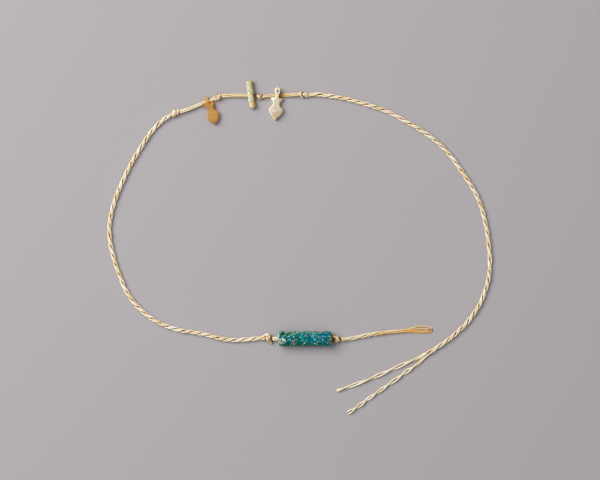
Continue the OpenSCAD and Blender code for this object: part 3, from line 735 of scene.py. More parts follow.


# Knots
# Each knot: node, middle, turn, core, hoops, strokes. Millimetres, apart from the strokes' pixels.
# Core: length, spread, yarn radius, stain, dark
# Hoop, a yarn round the cord: u along it, v to its left, slant, reach across, rise, radius, stain, dark
# Stroke: pixels of the photo that it runs through, each with a height, then yarn radius, stain, dark
# The dark column is painted shade, past 1 towards near black; where it is high, the stain's brown is painted
# shade too
KNOTS = [
    ("knot_1", (-51.95, 56.6), 22, (4.6, 0.42, 0.3, 0.15, 0.1),
     [(-1.18, 0.02, 0.4, 0.94, 0.86, 0.38, 0, 0), (-0.68, 0.08, 0.4, 1.04, 0.92, 0.4, 0, 0),
      (-0.2, 0.12, 0.4, 1.06, 0.95, 0.36, 0, 0), (0.76, 0, 0.4, 0.94, 0.92, 0.34, 0, 0),
      (1.12, 0, 0.4, 0.86, 0.9, 0.34, 0, 0)],
     [([(176.2, 109.8, 1.5), (176.5, 111.4, 2.1), (176.5, 113.2, 2.1),
        (176.1, 115.2, 1.4)], 0.18, 0.9, 1.6),
      ([(175.3, 109.9, 1.8), (176.5, 110.1, 1.9)], 0.22, 0.9, 1.5),
      ([(179.3, 109.9, 1), (179.5, 111.3, 1.85), (179.5, 112.6, 1.85), (179.4, 113.8, 1)], 0.14, 0.9, 1.2),
      ([(174.2, 116, 1.2), (175.4, 116.1, 1.1), (176.8, 115.4, 0.9)], 0.28, 0.7, 0.1)]),
    ("knot_2", (-34.4, 63.1), 20, (5.4, 0.4, 0.29, 0.4, 0.3),
     [(-1.5, 0.08, 0.6, 0.78, 0.8, 0.28, 0.1, 0), (-1.2, 0.08, 0.6, 0.84, 0.84, 0.28, 0, 0),
      (-0.56, 0, 0.6, 0.98, 0.92, 0.29, 0.1, 0), (-0.26, 0, 0.6, 1.02, 0.94, 0.27, 0.1, 0),
      (0.4, 0.02, 0.55, 1.04, 0.98, 0.36, 0.1, 0), (0.78, 0, 0.5, 0.98, 0.96, 0.36, 0, 0),
      (1.14, 0, 0.5, 0.9, 0.9, 0.3, 0.2, 0)],
     [([(215.9, 95.6, 1.6), (215.5, 97.5, 2.15), (215.3, 99.6, 1.6)], 0.17, 0.85, 1.6),
      ([(217.9, 94.9, 1.8), (217.6, 96.8, 2.3), (217.4, 98.6, 2.05), (217.2, 100, 1.3)], 0.17, 0.8, 1.5),
      ([(217.7, 94.3, 1.8), (218.8, 94.4, 2.15)], 0.24, 1, 1.8),
      ([(217.3, 99.5, 1.2), (218.8, 99.1, 1.7), (220.6, 98.4, 1.6)], 0.3, 0.8, 0.4),
      ([(221.2, 94.9, 1.3), (221.5, 96.4, 1.9), (221.4, 98.2, 1.4)], 0.2, 0.95, 1.5),
      ([(210.6, 100.9, 1), (211.8, 99.3, 1.6), (213.4, 97.7, 1.6)], 0.29, 0, 0),
      ([(211.6, 101.2, 0.8), (212.8, 100.1, 1.4), (213.7, 99, 1.6)], 0.27, 0.2, 0)]),
    ("knot_3", (-16.45, 63.2), 0, (4.2, 0.34, 0.27, 0.7, 0.6), [],
     [([(257.3, 97, 1.5), (258.4, 96.5, 2.2), (259.7, 96.6, 2.3), (260.4, 97.3, 1.7)], 0.34, 0, 0),
      ([(257.9, 97.8, 1.3), (259, 97.6, 2), (260, 97.9, 1.8), (260.6, 98.6, 1.2)], 0.29, 0.05, 0),
      ([(254.5, 94.7, 1.5), (255.6, 94.9, 1.8), (256.7, 95, 1.7)], 0.27, 1, 1.85),
      ([(256.6, 95.5, 1.7), (257.6, 95.5, 1.9), (258.4, 95.6, 1.8)], 0.26, 0.4, 0.1),
      ([(257.9, 94.9, 1.5), (259.1, 94.9, 1.7), (260, 95.1, 1.5)], 0.24, 1, 1.1),
      ([(259.8, 95.4, 1.8), (260.6, 95.6, 1.8), (261.2, 96, 1.6)], 0.24, 0.3, 0),
      ([(255.7, 97.2, 1.9), (256.5, 97.4, 2), (257.1, 98, 1.5)], 0.27, 1, 1.85),
      ([(262.6, 95, 1.5), (261.8, 95.9, 2.1), (261.5, 96.8, 2.1), (261, 97.7, 1.7)], 0.27, 1, 1.55),
      ([(261.9, 98.1, 1.3), (262.5, 97.4, 1.9), (263.4, 96.9, 1.8), (264.4, 96.3, 1.4)], 0.28, 0.1, 0),
      ([(257, 98.2, 1), (258.2, 98.6, 1.3), (259.3, 99.2, 1), (260.2, 99.6, 0.8)], 0.29, 0.7, 0.15),
      ([(260.1, 98, 1.5), (260.5, 98.8, 1.5), (260.6, 99.5, 1)], 0.31, 0.15, 0),
      ([(260.9, 98.6, 1.1), (262, 98.4, 1.3), (263, 98.2, 0.9)], 0.27, 0.65, 0)]),
    ("knot_4", (1.64, 64.2), 0, (5.2, 0.38, 0.29, 0.25, 0), [],
     [([(301, 92.4, 1.2), (300.4, 93.4, 2), (300.3, 94.8, 2.2), (300.8, 96, 1.8), (301.8, 97, 1.3),
        (303.2, 97.6, 0.9)], 0.36, 0, 0),
      ([(298.9, 93, 1.3), (299, 94.5, 1.8), (299, 96, 1.3)], 0.27, 0.4, 0),
      ([(301.6, 93.4, 1.6), (301.5, 94.8, 1.9), (301.9, 95.9, 1.7)], 0.2, 0.45, 0),
      ([(301.6, 92.3, 1.4), (302.9, 92.8, 1.8), (302.5, 94.4, 2.05), (302.6, 95.8, 2.05),
        (303.6, 96.6, 1.7), (304.9, 97.1, 1.3), (305.8, 97.6, 0.9)], 0.25, 1, 1.3),
      ([(303.4, 93.8, 1.5), (303.7, 94.7, 2.3), (303.9, 95.6, 2.1)], 0.39, 0, 0),
      ([(303.9, 95.2, 2), (305.2, 95.3, 2.1), (306.6, 95.2, 1.9), (307.8, 94.8, 1.4)], 0.37, 0, 0),
      ([(303.4, 93.4, 1.4), (304.9, 93.6, 1.8), (306.4, 93.7, 1.7), (307.9, 93.6, 1.3)], 0.31, 0.15, 0),
      ([(305.9, 97.4, 1.1), (306.9, 97, 1.3)], 0.31, 0, 0),
      ([(304.3, 96.3, 1.6), (306.2, 96.4, 1.6), (308, 96.3, 1.4), (309.2, 96.2, 1.1)], 0.31, 0.15, 0),
      ([(308, 94.1, 1.6), (308.6, 94.7, 1.7)], 0.22, 1, 1.7)]),
    ("bead_knot_left", (-13.2, -37.9), 0, (3.4, 0.34, 0.28, 0.6, 0.3), [],
     [([(262.2, 336.9, 0.9), (263.7, 336.1, 1.3), (265, 335.1, 1.6), (266.3, 334.3, 1.8),
        (267.4, 333.9, 1.9), (268.6, 334.7, 2), (269.2, 336, 2.1), (269.3, 337.4, 2.1), (269.6, 338.9, 1.9),
        (270.2, 340.5, 1.6), (270.8, 342, 1.2), (271.7, 343.3, 0.7)], 0.41, 0.05, 0),
      ([(265.2, 336, 1.7), (266.6, 335.3, 2), (267.9, 335.1, 2.1), (269, 335.7, 2)], 0.36, 0.2, 0),
      ([(269.3, 338.2, 2.25), (269.7, 339.4, 2.1), (270.1, 340.4, 1.85)], 0.28, 0.9, 0.25),
      ([(265.9, 337.3, 1.6), (266.8, 337.6, 2.1), (267.4, 338.7, 2.35), (267.7, 340, 2.2),
        (268.3, 341.2, 1.7)], 0.34, 0, 0),
      ([(267.9, 340.7, 1.6), (268.8, 341.8, 1.2), (270, 342.8, 0.9), (271.2, 343.4, 0.7)], 0.3, 0.5, 0),
      ([(268.3, 336.6, 2), (268.6, 338.2, 2.1), (268.8, 340, 1.9), (269.4, 341.4, 1.4)], 0.13, 1, 0.7),
      ([(264.4, 336.7, 1.9), (265.8, 336.5, 2.1)], 0.2, 1, 0.7),
      ([(266.2, 336.4, 2.1), (267.9, 336.2, 2.2)], 0.2, 0.85, 0),
      ([(262.9, 338.9, 1.5), (263.8, 338.7, 2), (264.8, 338.8, 1.8)], 0.36, 0, 0),
      ([(262.1, 338.2, 1.5), (262.6, 338.6, 1.7)], 0.22, 1, 0.9),
      ([(270.2, 334.8, 1.6), (270.5, 336.2, 1.8), (271.1, 337.6, 1.7), (271.5, 339, 1.6),
        (271.7, 340.2, 1.4), (272.3, 341.4, 1), (272.8, 342.2, 0.7)], 0.26, 1, 1.75),
      ([(265, 339.5, 1.1), (266.3, 339.4, 1.4)], 0.24, 1, 1),
      ([(270.2, 341, 1.9), (270.5, 341.8, 1.6)], 0.22, 0, 0)]),
    ("bead_knot_right", (15.67, -38.26), 0, (3.6, 0.34, 0.28, 1, 0.9), [],
     [([(331.9, 335, 1.4), (332.2, 336.6, 2.2), (332.4, 338.3, 2.3), (333.2, 340, 1.8),
        (334.4, 341.7, 0.9)], 0.32, 1, 1.75),
      ([(331.5, 336, 1.6), (331.7, 338.6, 1.8), (332.3, 341, 1.1)], 0.34, 1, 2),
      ([(332.6, 335.4, 1.4), (334, 335.2, 1.7), (335.4, 335.4, 1.6)], 0.24, 1, 0.9),
      ([(332.9, 336.4, 1.9), (334.2, 336.6, 2.3), (335.6, 337.1, 2.4), (336.6, 337.9, 2.2)], 0.44, 0.12, 0),
      ([(335.3, 335.6, 2), (335.8, 336.3, 2.3)], 0.18, 1, 0.5),
      ([(336.2, 336.2, 2), (337.2, 336.3, 2.2), (338, 336.9, 1.8)], 0.38, 0.3, 0),
      ([(336, 337.6, 2.3), (337.1, 338.3, 2.6), (338, 339.4, 2.4), (339.3, 340.2, 1.8)], 0.50, 0.15, 0),
      ([(333.9, 338.4, 2.1), (334.9, 338.8, 2.3)], 0.28, 1, 0.7),
      ([(335, 339, 2.2), (335.9, 339.6, 2.2)], 0.26, 0.9, 0.3),
      ([(335.2, 340.5, 1.9), (336.4, 340.4, 2.2), (337.8, 340.6, 2)], 0.40, 0.35, 0),
      ([(335.6, 341.5, 1.3), (337.2, 341.5, 1.5), (339.1, 341.1, 1.3)], 0.37, 0.55, 0),
      ([(334.8, 342.3, 0.9), (336.2, 342.4, 0.9)], 0.26, 1, 0.5),
      ([(338.3, 337.1, 1.8), (339.1, 337.5, 1.8)], 0.27, 0.8, 0.1),
      ([(339.3, 337.8, 2.1), (340, 338.3, 2.25), (340.5, 339.4, 1.8)], 0.33, 1, 1.85),
      ([(340.3, 340.3, 1.2), (340.7, 340.9, 1)], 0.22, 1, 0.8),
      ([(340.9, 338.6, 1.6), (341.6, 338.2, 1.9), (342.8, 337.8, 1.7)], 0.33, 0, 0)]),
]


def knot_point(place, turn, u, v, z):
    """A point of a knot: u along its cord, v to the left of it, z up."""
    x, y = rotated(u, v, turn)
    return np.stack(np.broadcast_arrays(place[0] + x, place[1] + y, z), -1) * MM


def over_pixel(px, py, z):
    """The place of a pixel of the photo, at a height in millimetres."""
    return np.stack([(px - ORIGIN_PIXEL[0]) * PIXEL, (ORIGIN_PIXEL[1] - py) * PIXEL, z], -1) * MM


def hoop_points(place, turn, u, v, slant, reach, rise, radius):
    """A yarn once round the cord and a little further, lying on the surface."""
    angle = np.linspace(-0.62 * math.pi, 1.62 * math.pi, 44)
    across = reach * np.cos(angle)
    return knot_point(place, turn, u + slant * across, v + across, rise + radius + rise * np.sin(angle))


def make_knot(number, node, place, turn, core, hoops, strokes, material):
    """The cord's four yarns in the middle, with hoops or the strands seen on the photo over them."""
    yarns = Yarns(reach=(0.22 if hoops else 0.28) * MM)
    seed = 100 + 20 * number
    length, spread, radius, stain, painted_shade = core
    u, middle_height = np.linspace(-length / 2, length / 2, 16), 1.3
    for k in range(4):
        angle = math.pi * (0.25 + 0.5 * k)
        height = middle_height + spread * math.sin(angle)
        line = knot_point(place, turn, u, spread * math.cos(angle), height)
        yarns.add(line, radius * MM, seed + k, stain, painted_shade)
    strands = [(hoop_points(place, turn, *hoop[:6]), *hoop[5:]) for hoop in hoops]
    strands += [(over_pixel(*np.array(points).T), *rest) for points, *rest in strokes]
    for k, (points, radius, stain, painted_shade) in enumerate(strands):
        line, _ = smooth_path(points, 0.14 * MM)
        yarns.add(settle(line, radius * MM), radius * MM, seed + 5 + k, stain, painted_shade)
    made = yarns.build(node + "_yarns", material, fuzz=20, seed=seed + len(strands))
    finish_piece(made, [node])


# Painted solids
class Coat:
    """Colours and heights laid on the points of a solid, whose places are in millimetres in the CAD frame."""

    def __init__(self, points, base):
        self.points = points
        self.colours = np.tile(tone(base), (len(points), 1))
        self.height = np.zeros(len(points))

    def field(self, scale, seed):
        """Fractal noise at every point, about -1 to 1."""
        shift = Vector((seed * 7.1, seed * 3.7, seed * 11.9))
        return np.array([noise.fractal(Vector(p) * scale + shift, 1.0, 2.0, 3) for p in self.points])

    def wash(self, colour, mask):
        """Lays a colour over what is there, as strongly as the mask says at each point."""
        self.colours += (np.array(tone(colour)) - self.colours) * np.clip(mask, 0, 1)[:, None]

    def near(self, x, y, radius, stretch=1.0, turn=0.0):
        """How near each point is to a spot seen from above: 1 in its middle, 0 outside it."""
        dx, dy = rotated(self.points[:, 0] - x, self.points[:, 1] - y, -turn)
        return np.clip(1 - np.hypot(dx / stretch, dy) / radius, 0, 1)

    def spot(self, colour, strength, soft, *place):
        """A spot of colour. Soft is how soon it is full towards its middle, or 0 for an even slope."""
        mask = self.near(*place)
        self.wash(colour, strength * (eased(soft * mask) if soft else mask))

    def finish(self, made):
        paint = np.c_[np.clip(self.colours, 0, 1), np.ones(len(self.points))]
        set_attribute(made, "paint", "FLOAT_COLOR", paint)


def rod(start, end, radius, sides=32):
    """A closed cylinder between two points, in millimetres."""
    start, end = Vector(start), Vector(end)
    first = (end - start).orthogonal().normalized()
    second = (end - start).normalized().cross(first)
    angles = [math.tau * k / sides for k in range(sides)]
    points = [middle + radius * (math.cos(a) * first + math.sin(a) * second)
              for middle in (start, end) for a in angles]
    return bare_object("rod", points, tube_faces(2, sides))


# The fine mesh of a carved stone: the size of its faces in millimetres, and how often it is smoothed
VOXEL = 0.11
RELAX = 3


def carved(points, faces, cutter):
    """Cuts the cutter out of a shape and remakes it as an even fine mesh: its points and faces."""
    shape = bare_object("shape", points, faces)
    cut = shape.modifiers.new("cut", "BOOLEAN")
    cut.operation, cut.object, cut.solver = "DIFFERENCE", cutter, "EXACT"
    fine = shape.modifiers.new("fine", "REMESH")
    fine.mode, fine.voxel_size = "VOXEL", VOXEL
    soft = shape.modifiers.new("soft", "SMOOTH")
    soft.factor, soft.iterations = 0.5, RELAX
    bpy.context.view_layer.update()
    done = bpy.data.meshes.new_from_object(shape.evaluated_get(bpy.context.evaluated_depsgraph_get()))
    points = np.array([v.co for v in done.vertices])
    faces = [list(f.vertices) for f in done.polygons]
    bpy.data.meshes.remove(done)
    for spent in (shape, cutter):
        bpy.data.objects.remove(spent)
    return points, faces


def turned(points, turn, place):
    """Points turned on the surface and moved to a place, in millimetres."""
    x, y = rotated(points[:, 0], points[:, 1], turn)
    return np.stack([x + place[0], y + place[1], points[:, 2]], 1)


# Nefer amulets
# Outlines: distance below the top, then half width at the left and at the right, in millimetres
ORANGE_ROWS = [
    (0.15, 0.50, 0.40), (0.55, 0.92, 0.75), (0.95, 0.98, 0.80), (1.45, 0.68, 0.66), (2.20, 0.62, 0.62),
    (2.80, 0.68, 0.68), (2.88, 1.40, 1.40), (3.00, 2.00, 2.00), (3.40, 2.25, 2.30), (4.00, 1.88, 2.10),
    (4.80, 1.35, 1.68), (5.60, 1.18, 1.52), (6.30, 1.45, 1.80), (7.00, 2.00, 2.36), (7.80, 2.36, 2.74),
    (8.60, 2.42, 2.78), (9.40, 2.24, 2.52), (10.30, 1.75, 1.98), (11.10, 1.15, 1.30), (11.70, 0.58, 0.62),
]
WHITE_ROWS = [
    (0.12, 0.50, 0.50), (0.50, 1.00, 1.00), (1.30, 1.20, 1.20), (2.20, 1.05, 1.05), (3.10, 0.76, 0.76),
    (3.70, 0.70, 0.70), (4.15, 0.78, 0.74), (4.28, 1.50, 1.50), (4.38, 2.20, 2.15), (4.75, 2.60, 2.65),
    (5.30, 2.15, 2.20), (6.10, 1.56, 1.56), (6.90, 1.38, 1.38), (7.60, 1.62, 1.62), (8.40, 2.36, 2.36),
    (9.20, 2.84, 2.84), (9.80, 2.95, 2.95), (10.50, 2.72, 2.72), (11.50, 2.02, 2.02), (12.50, 1.20, 1.20),
    (13.30, 0.55, 0.55),
]

# Spots of colour on the white nefer: x, y, radius in millimetres, colour
WHITE_SPOTS = [
    (-9.2, 66.8, 0.50, "#f0c488"), (-8.5, 65.9, 0.40, "#f0d4c2"), (-9.6, 64.3, 0.40, "#dccf92"),
    (-8.3, 61.4, 0.45, "#bc9f4e"), (-10.4, 61.8, 0.50, "#d8c288"), (-9.9, 60.3, 0.60, "#d8c8be"),
    (-8.9, 60.2, 0.50, "#d0c086"), (-11.0, 57.6, 1.30, "#dcd0c6"), (-9.9, 57.4, 0.55, "#c8bda8"),
    (-8.4, 57.9, 0.60, "#cbb6a4"), (-9.2, 56.3, 0.70, "#bc9470"), (-11.3, 55.3, 0.45, "#c6b078"),
    (-10.5, 55.1, 0.70, "#c49860"), (-9.5, 54.5, 0.55, "#c9ae50"),
]

# Both nefers: thickness and bore in millimetres
NEFER_THICK = 2.5
NEFER_BORE = 1.45

# Spots of colour: colour, strength, softness, then x, y and radius in millimetres, stretch and turn
# On the orange nefer, #b85c06 and #6a2a04 are painted shadow in the crevices beside the cord
ORANGE_SPOTS = [
    ("#ffa83c", 0.75, 1.5, -35.9, 60.4, 1.0), ("#b85c06", 1.8, 0, -37.3, 60.9, 0.75, 1.4, 10),
    ("#6a2a04", 1.8, 0, -40.1, 60.2, 0.7, 1.6, 20), ("#bfa360", 0.8, 1.5, -38.8, 62.4, 1.5),
]
# On the white nefer, #8a5408 and #4a2204 are painted shadow in the notch of the right arm by the cord
WHITE_BORE_SPOTS = [
    ("#f2d2a2", 0.9, 1.6, -7.2, 62.1, 0.8), ("#8a5408", 1.8, 0, -7.85, 62.65, 0.42, 2.0, -39),
    ("#4a2204", 1.8, 0, -8.4, 63.0, 0.42), ("#9c7400", 1.0, 2.6, -8.93, 65.6, 0.54),
]


def plaque(rows, length, bore_down, stalk_end):
    """A flat nefer, its top at the origin: points, faces, and how near each point is to the rim."""
    corners = [(0, 0)] + [(-left, -down) for down, left, _ in rows] + [(0, -length)]
    corners += [(right, -down) for down, _, right in rows[::-1]]
    outline, _ = smooth_path([(x, y, 0) for x, y in corners + corners[:1]], 0.12)
    outline = outline[:-1, :2]
    half, beyond = NEFER_THICK / 2, 4
    points = [(x, y, z) for z in (0, NEFER_THICK) for x, y in outline]
    cutter = rod((-beyond, -bore_down, half), (beyond, -bore_down, half), NEFER_BORE / 2)
    points, faces = carved(points, tube_faces(2, len(outline)), cutter)
    rim = np.concatenate([np.linalg.norm(part[:, None, :2] - outline[None], axis=2).min(1)
                          for part in np.array_split(points, 40)])
    stalk = -points[:, 1] < stalk_end
    fall, slope_width = np.where(stalk, 0.2, 0.58), np.where(stalk, 0.3, 0.62)
    top = NEFER_THICK - fall * (1 - eased(rim / slope_width)) ** 1.2
    foot = 0.22 * (1 - eased(rim / 0.3))
    z = points[:, 2].copy()
    upper, lower = half + (z - half) * (top - half) / half, foot + z * (half - foot) / half
    points[:, 2] = np.where(z > half, upper, lower)
    return points, faces, 1 - eased((rim - 0.12) / 0.6)


def finish_stone(name, node, faces, coat, material):
    made = mesh_object(name, coat.points * MM, faces, material)
    coat.finish(made)
    finish_piece(made, [node])


def orange_nefer():
    """The amulet at the left: waxy orange stone, with painted light along its rim, brightest on the right."""
    points, faces, edge = plaque(ORANGE_ROWS, length=12.0, bore_down=2.05, stalk_end=2.8)
    right = eased(points[:, 0] / 0.9)
    points = turned(points, 18, (-39.1, 63.3))
    coat = Coat(points, "#b48a44")
    cloud, fine = coat.field(0.45, 1), coat.field(1.6, 2)
    points[:, 2] += np.where(points[:, 2] > 1.6, 0.05 * cloud + 0.02 * fine, 0)
    coat.wash("#a07a3c", 0.8 * eased(cloud + 0.2))
    coat.wash("#bd9078", 0.4 * coat.near(-37.0, 55.8, 1.6) + 0.4 * coat.near(-38.2, 52.9, 1.2))
    # Painted light: the rim glows orange, is paler where lit at the lower left, and brightest on the right
    # rim
    coat.wash("#cf8c34", 0.85 * edge)
    coat.wash("#d8a66c", 0.9 * edge * eased(1.5 * coat.near(-40.2, 55.4, 3.6)))
    coat.wash("#ffab30", 0.95 * edge * right)
    for spot in ORANGE_SPOTS:
        coat.spot(*spot)
    coat.wash("#c99a52", 0.5 * eased(fine * 1.8 - 0.1))
    coat.wash("#a5742c", 0.7 * coat.near(-37.6, 59.0, 2.2) * eased(fine + 0.6))
    material = painted_material("orange_stone", 2.2, 0.14, 0.5, 0.25, glow=(0.0009, 0.0005, 0.0002))
    finish_stone("orange_nefer_stone", "orange_nefer", faces, coat, material)


def white_nefer():
    """The amulet in the middle: pale stone with a lowered pair of arms and a small pit in its stalk."""
    points, faces, edge = plaque(WHITE_ROWS, length=13.7, bore_down=3.35, stalk_end=3.9)
    x, down = points[:, 0].copy(), -points[:, 1]
    arms = eased((np.abs(x) - 0.7) / 0.5) * eased((down - 4.0) / 0.25) * eased((5.6 - down) / 0.6)
    pit = np.clip(1 - np.hypot(x - 0.3, down - 1.7) / 0.4, 0, 1)
    high = points[:, 2] > 1.3
    for lowering in (0.45 * arms * eased((down - 4.0) / 1.2 + 0.3), 0.36 * eased(pit * 1.3)):
        points[:, 2] -= np.where(high, lowering, 0)
    points = turned(points, -5, (-9.1, 67.2))
    coat = Coat(points, "#cac1ab")
    cloud, fine = coat.field(0.5, 3), coat.field(1.7, 4)
    points[:, 2] += np.where(points[:, 2] > 1.6, 0.04 * cloud + 0.02 * fine, 0)
    coat.wash("#b8ab8c", 0.5 * eased(cloud + 0.3))
    coat.wash("#ae9566", 0.8 * coat.near(-9.4, 56.0, 3.0) * eased(0.8 + fine))
    coat.wash("#bd9a64", 0.6 * coat.near(-9.8, 54.6, 2.2))
    # Painted highlight along the rim, lighter still on the right rim against the shade there
    coat.wash("#fbf3de", 0.85 * edge)
    coat.wash("#fff2d2", 0.95 * edge * eased(x / 0.7))
    # Painted highlight on the lit left arm
    coat.spot("#f6f2ea", 0.7, 1.6, -11.2, 62.6, 0.9)
    coat.wash("#f4d38c", 0.8 * edge * coat.near(-10.2, 54.2, 2.4))
    coat.spot("#ba9058", 0.8, 1.6, -8.1, 59.1, 0.42, 2.3, -73)
    for x, y, radius, colour in WHITE_SPOTS:
        coat.spot(colour, 0.65, 1.7, x, y, radius)
    for spot in WHITE_BORE_SPOTS:
        coat.spot(*spot)
    material = painted_material("white_stone", 2.4, 0.10, 0.5, 0.22, glow=(0.0007, 0.0006, 0.0004))
    finish_stone("white_nefer_stone", "white_nefer", faces, coat, material)


# Column bar
# Spots of colour on the bar: x, y, radius in millimetres, colour
BAR_SPOTS = [
    (-21.0, 68.8, 0.60, "#cdc8b9"), (-19.9, 68.3, 0.70, "#9aa048"), (-21.2, 67.9, 0.60, "#b2bc92"),
    (-21.3, 66.9, 0.45, "#e6d8c4"), (-20.5, 66.7, 0.45, "#bcb44c"), (-19.6, 66.8, 0.50, "#aa8c34"),
    (-19.9, 66.0, 0.50, "#d4bca4"), (-21.4, 64.8, 0.40, "#fffff0"), (-20.1, 64.8, 0.40, "#bc9f44"),
    (-19.8, 64.4, 0.45, "#d2a872"), (-21.0, 64.0, 0.42, "#bcb550"), (-20.5, 63.8, 0.42, "#dcd2be"),
    (-21.4, 63.5, 0.38, "#fdf6e2"), (-20.0, 62.6, 0.40, "#b9ba70"), (-21.0, 61.9, 0.45, "#fffffa"),
    (-20.7, 61.0, 0.38, "#d6a892"), (-19.5, 61.1, 0.45, "#ac7a48"), (-20.6, 60.1, 0.40, "#f6e0cc"),
    (-20.5, 59.4, 0.42, "#ecec9e"), (-19.0, 59.1, 0.45, "#a09c40"),
]

# The bar in millimetres: radius, length, the bore's radius and its height above the lower end
BAR_RADIUS = 1.4
BAR_LENGTH = 11.9
BAR_BORE = 0.8
BAR_BORE_UP = 5.65

# Its outline: angles round the lower end, then heights and how much the radius differs there
BAR_FOOT = [12, 25, 40, 55, 70, 85]
BAR_HEIGHTS = [
    (2.2, 0), (2.6, 0), (3.0, -0.07), (3.4, 0), (6.0, 0), (9.0, 0), (11.3, 0.02), (11.75, -0.1), (11.9, -0.4),
]


def bar_shape():
    """A round bar with a flat upper end, a rounded lower end, a shallow waist and a bore across it."""
    profile = [(BAR_RADIUS * math.sin(a), 1.2 * (1 - math.cos(a))) for a in np.radians(BAR_FOOT)]
    profile += [(BAR_RADIUS + more, up) for up, more in BAR_HEIGHTS]
    sides, beyond = 40, 3
    points = [(r * math.cos(a), y, BAR_RADIUS + r * math.sin(a)) for r, y in profile
              for a in (math.tau * k / sides for k in range(sides))]
    cutter = rod((-beyond, BAR_BORE_UP, BAR_RADIUS), (beyond, BAR_BORE_UP, BAR_RADIUS), BAR_BORE)
    return carved(points, tube_faces(len(profile), sides), cutter)


def bar_colours(coat, right, up):
    """Pale glaze at the left, green and brown at the right: right is -1 to 1 across the bar."""
    cloud, fine = coat.field(0.55, 6), coat.field(1.5, 7)
    coat.wash("#d8d3bc", 0.9 * eased((-right - 0.35) / 0.5) + 0.3 * eased(fine))
    # Green at the upper right, painted lighter against the shade there
    coat.wash("#bcc474", 0.8 * eased((right - 0.1) / 0.5) * eased((up - 6.5) / 1.5))
    coat.spot("#abb99c", 0.7, 0, -20.4, 67.7, 1.6, 1.3)
    coat.wash("#b9b04a", 0.7 * coat.near(-19.3, 65.3, 0.6) + 0.6 * coat.near(-19.6, 63.4, 0.5))
    coat.wash("#cdbfb6", 0.8 * coat.near(-19.5, 64.6, 0.7) + 0.8 * coat.near(-20.6, 67.9, 0.8))
    coat.wash("#d6d6c4", 0.6 * eased(cloud * 1.5 + 0.1) * eased((7.5 - up) / 1.5))
    coat.wash("#bf9c7e", 0.6 * eased(1 - np.abs(up - 3.1) / 0.45))
    coat.wash("#bdb26a", 0.5 * eased((2.6 - up) / 0.8))
    specks = coat.field(1.1, 8)
    coat.wash("#b3a13c", 0.75 * eased(specks * 2.6 - 0.7) * eased((right + 0.6) / 0.5))
    coat.wash("#9b9a50", 0.5 * eased(-specks * 2.6 - 0.6) * eased((right + 0.3) / 0.5))
    coat.wash("#efedde", 0.8 * eased(coat.field(1.3, 9) * 2.6 - 0.6) * eased((0.5 - right) / 0.5))
    # Yellow-olive at the upper right, painted lighter against the shade there
    coat.wash("#d2bc48", 0.75 * eased((right - 0.5) / 0.3) * eased((up - 5.5) / 1.5))
    for x, y, radius, colour in BAR_SPOTS:
        coat.spot(colour, 0.85, 1.7, x, y, radius)
    side = right - np.interp(up, [2.8, 3.8], [0.30, 0.62])
    stain = eased(side / 0.3) * eased((up - 0.9) / 0.9) * eased((6.8 - up) / 1.0)
    coat.wash("#dc9a14", 0.95 * stain)
    coat.wash("#8a5606", 0.85 * stain * eased((up - 3.0) / 0.8))
    # Painted shadow at the bore's right end, where the cord leaves the bar
    coat.spot("#341404", 1.6, 0, -18.75, 63.8, 0.85, 1.1, 95)


def green_bar():
    """The column-shaped bar, dented a little all round, with its foot a little to the right."""
    points, faces = bar_shape()
    up = points[:, 1].copy()
    around = units((points - [0, 0, BAR_RADIUS]) * [1, 0, 1])
    coat = Coat(points, "#b9b38c")
    points += around * np.where(up < BAR_LENGTH - 0.2, 0.05 * coat.field(0.5, 5), 0)[:, None]
    points[:, 0] += 0.14 * eased((3.4 - up) / 0.8)
    points = turned(points, 6.8, (-19.7, 58.2))
    points[:, 2] = np.maximum(points[:, 2], 0)
    coat.points = points
    bar_colours(coat, around[:, 0], up)
    material = painted_material("green_glaze", 2.0, 0.13, 0.4, 0.22)
    finish_stone("green_bar_glaze", "green_bar", faces, coat, material)


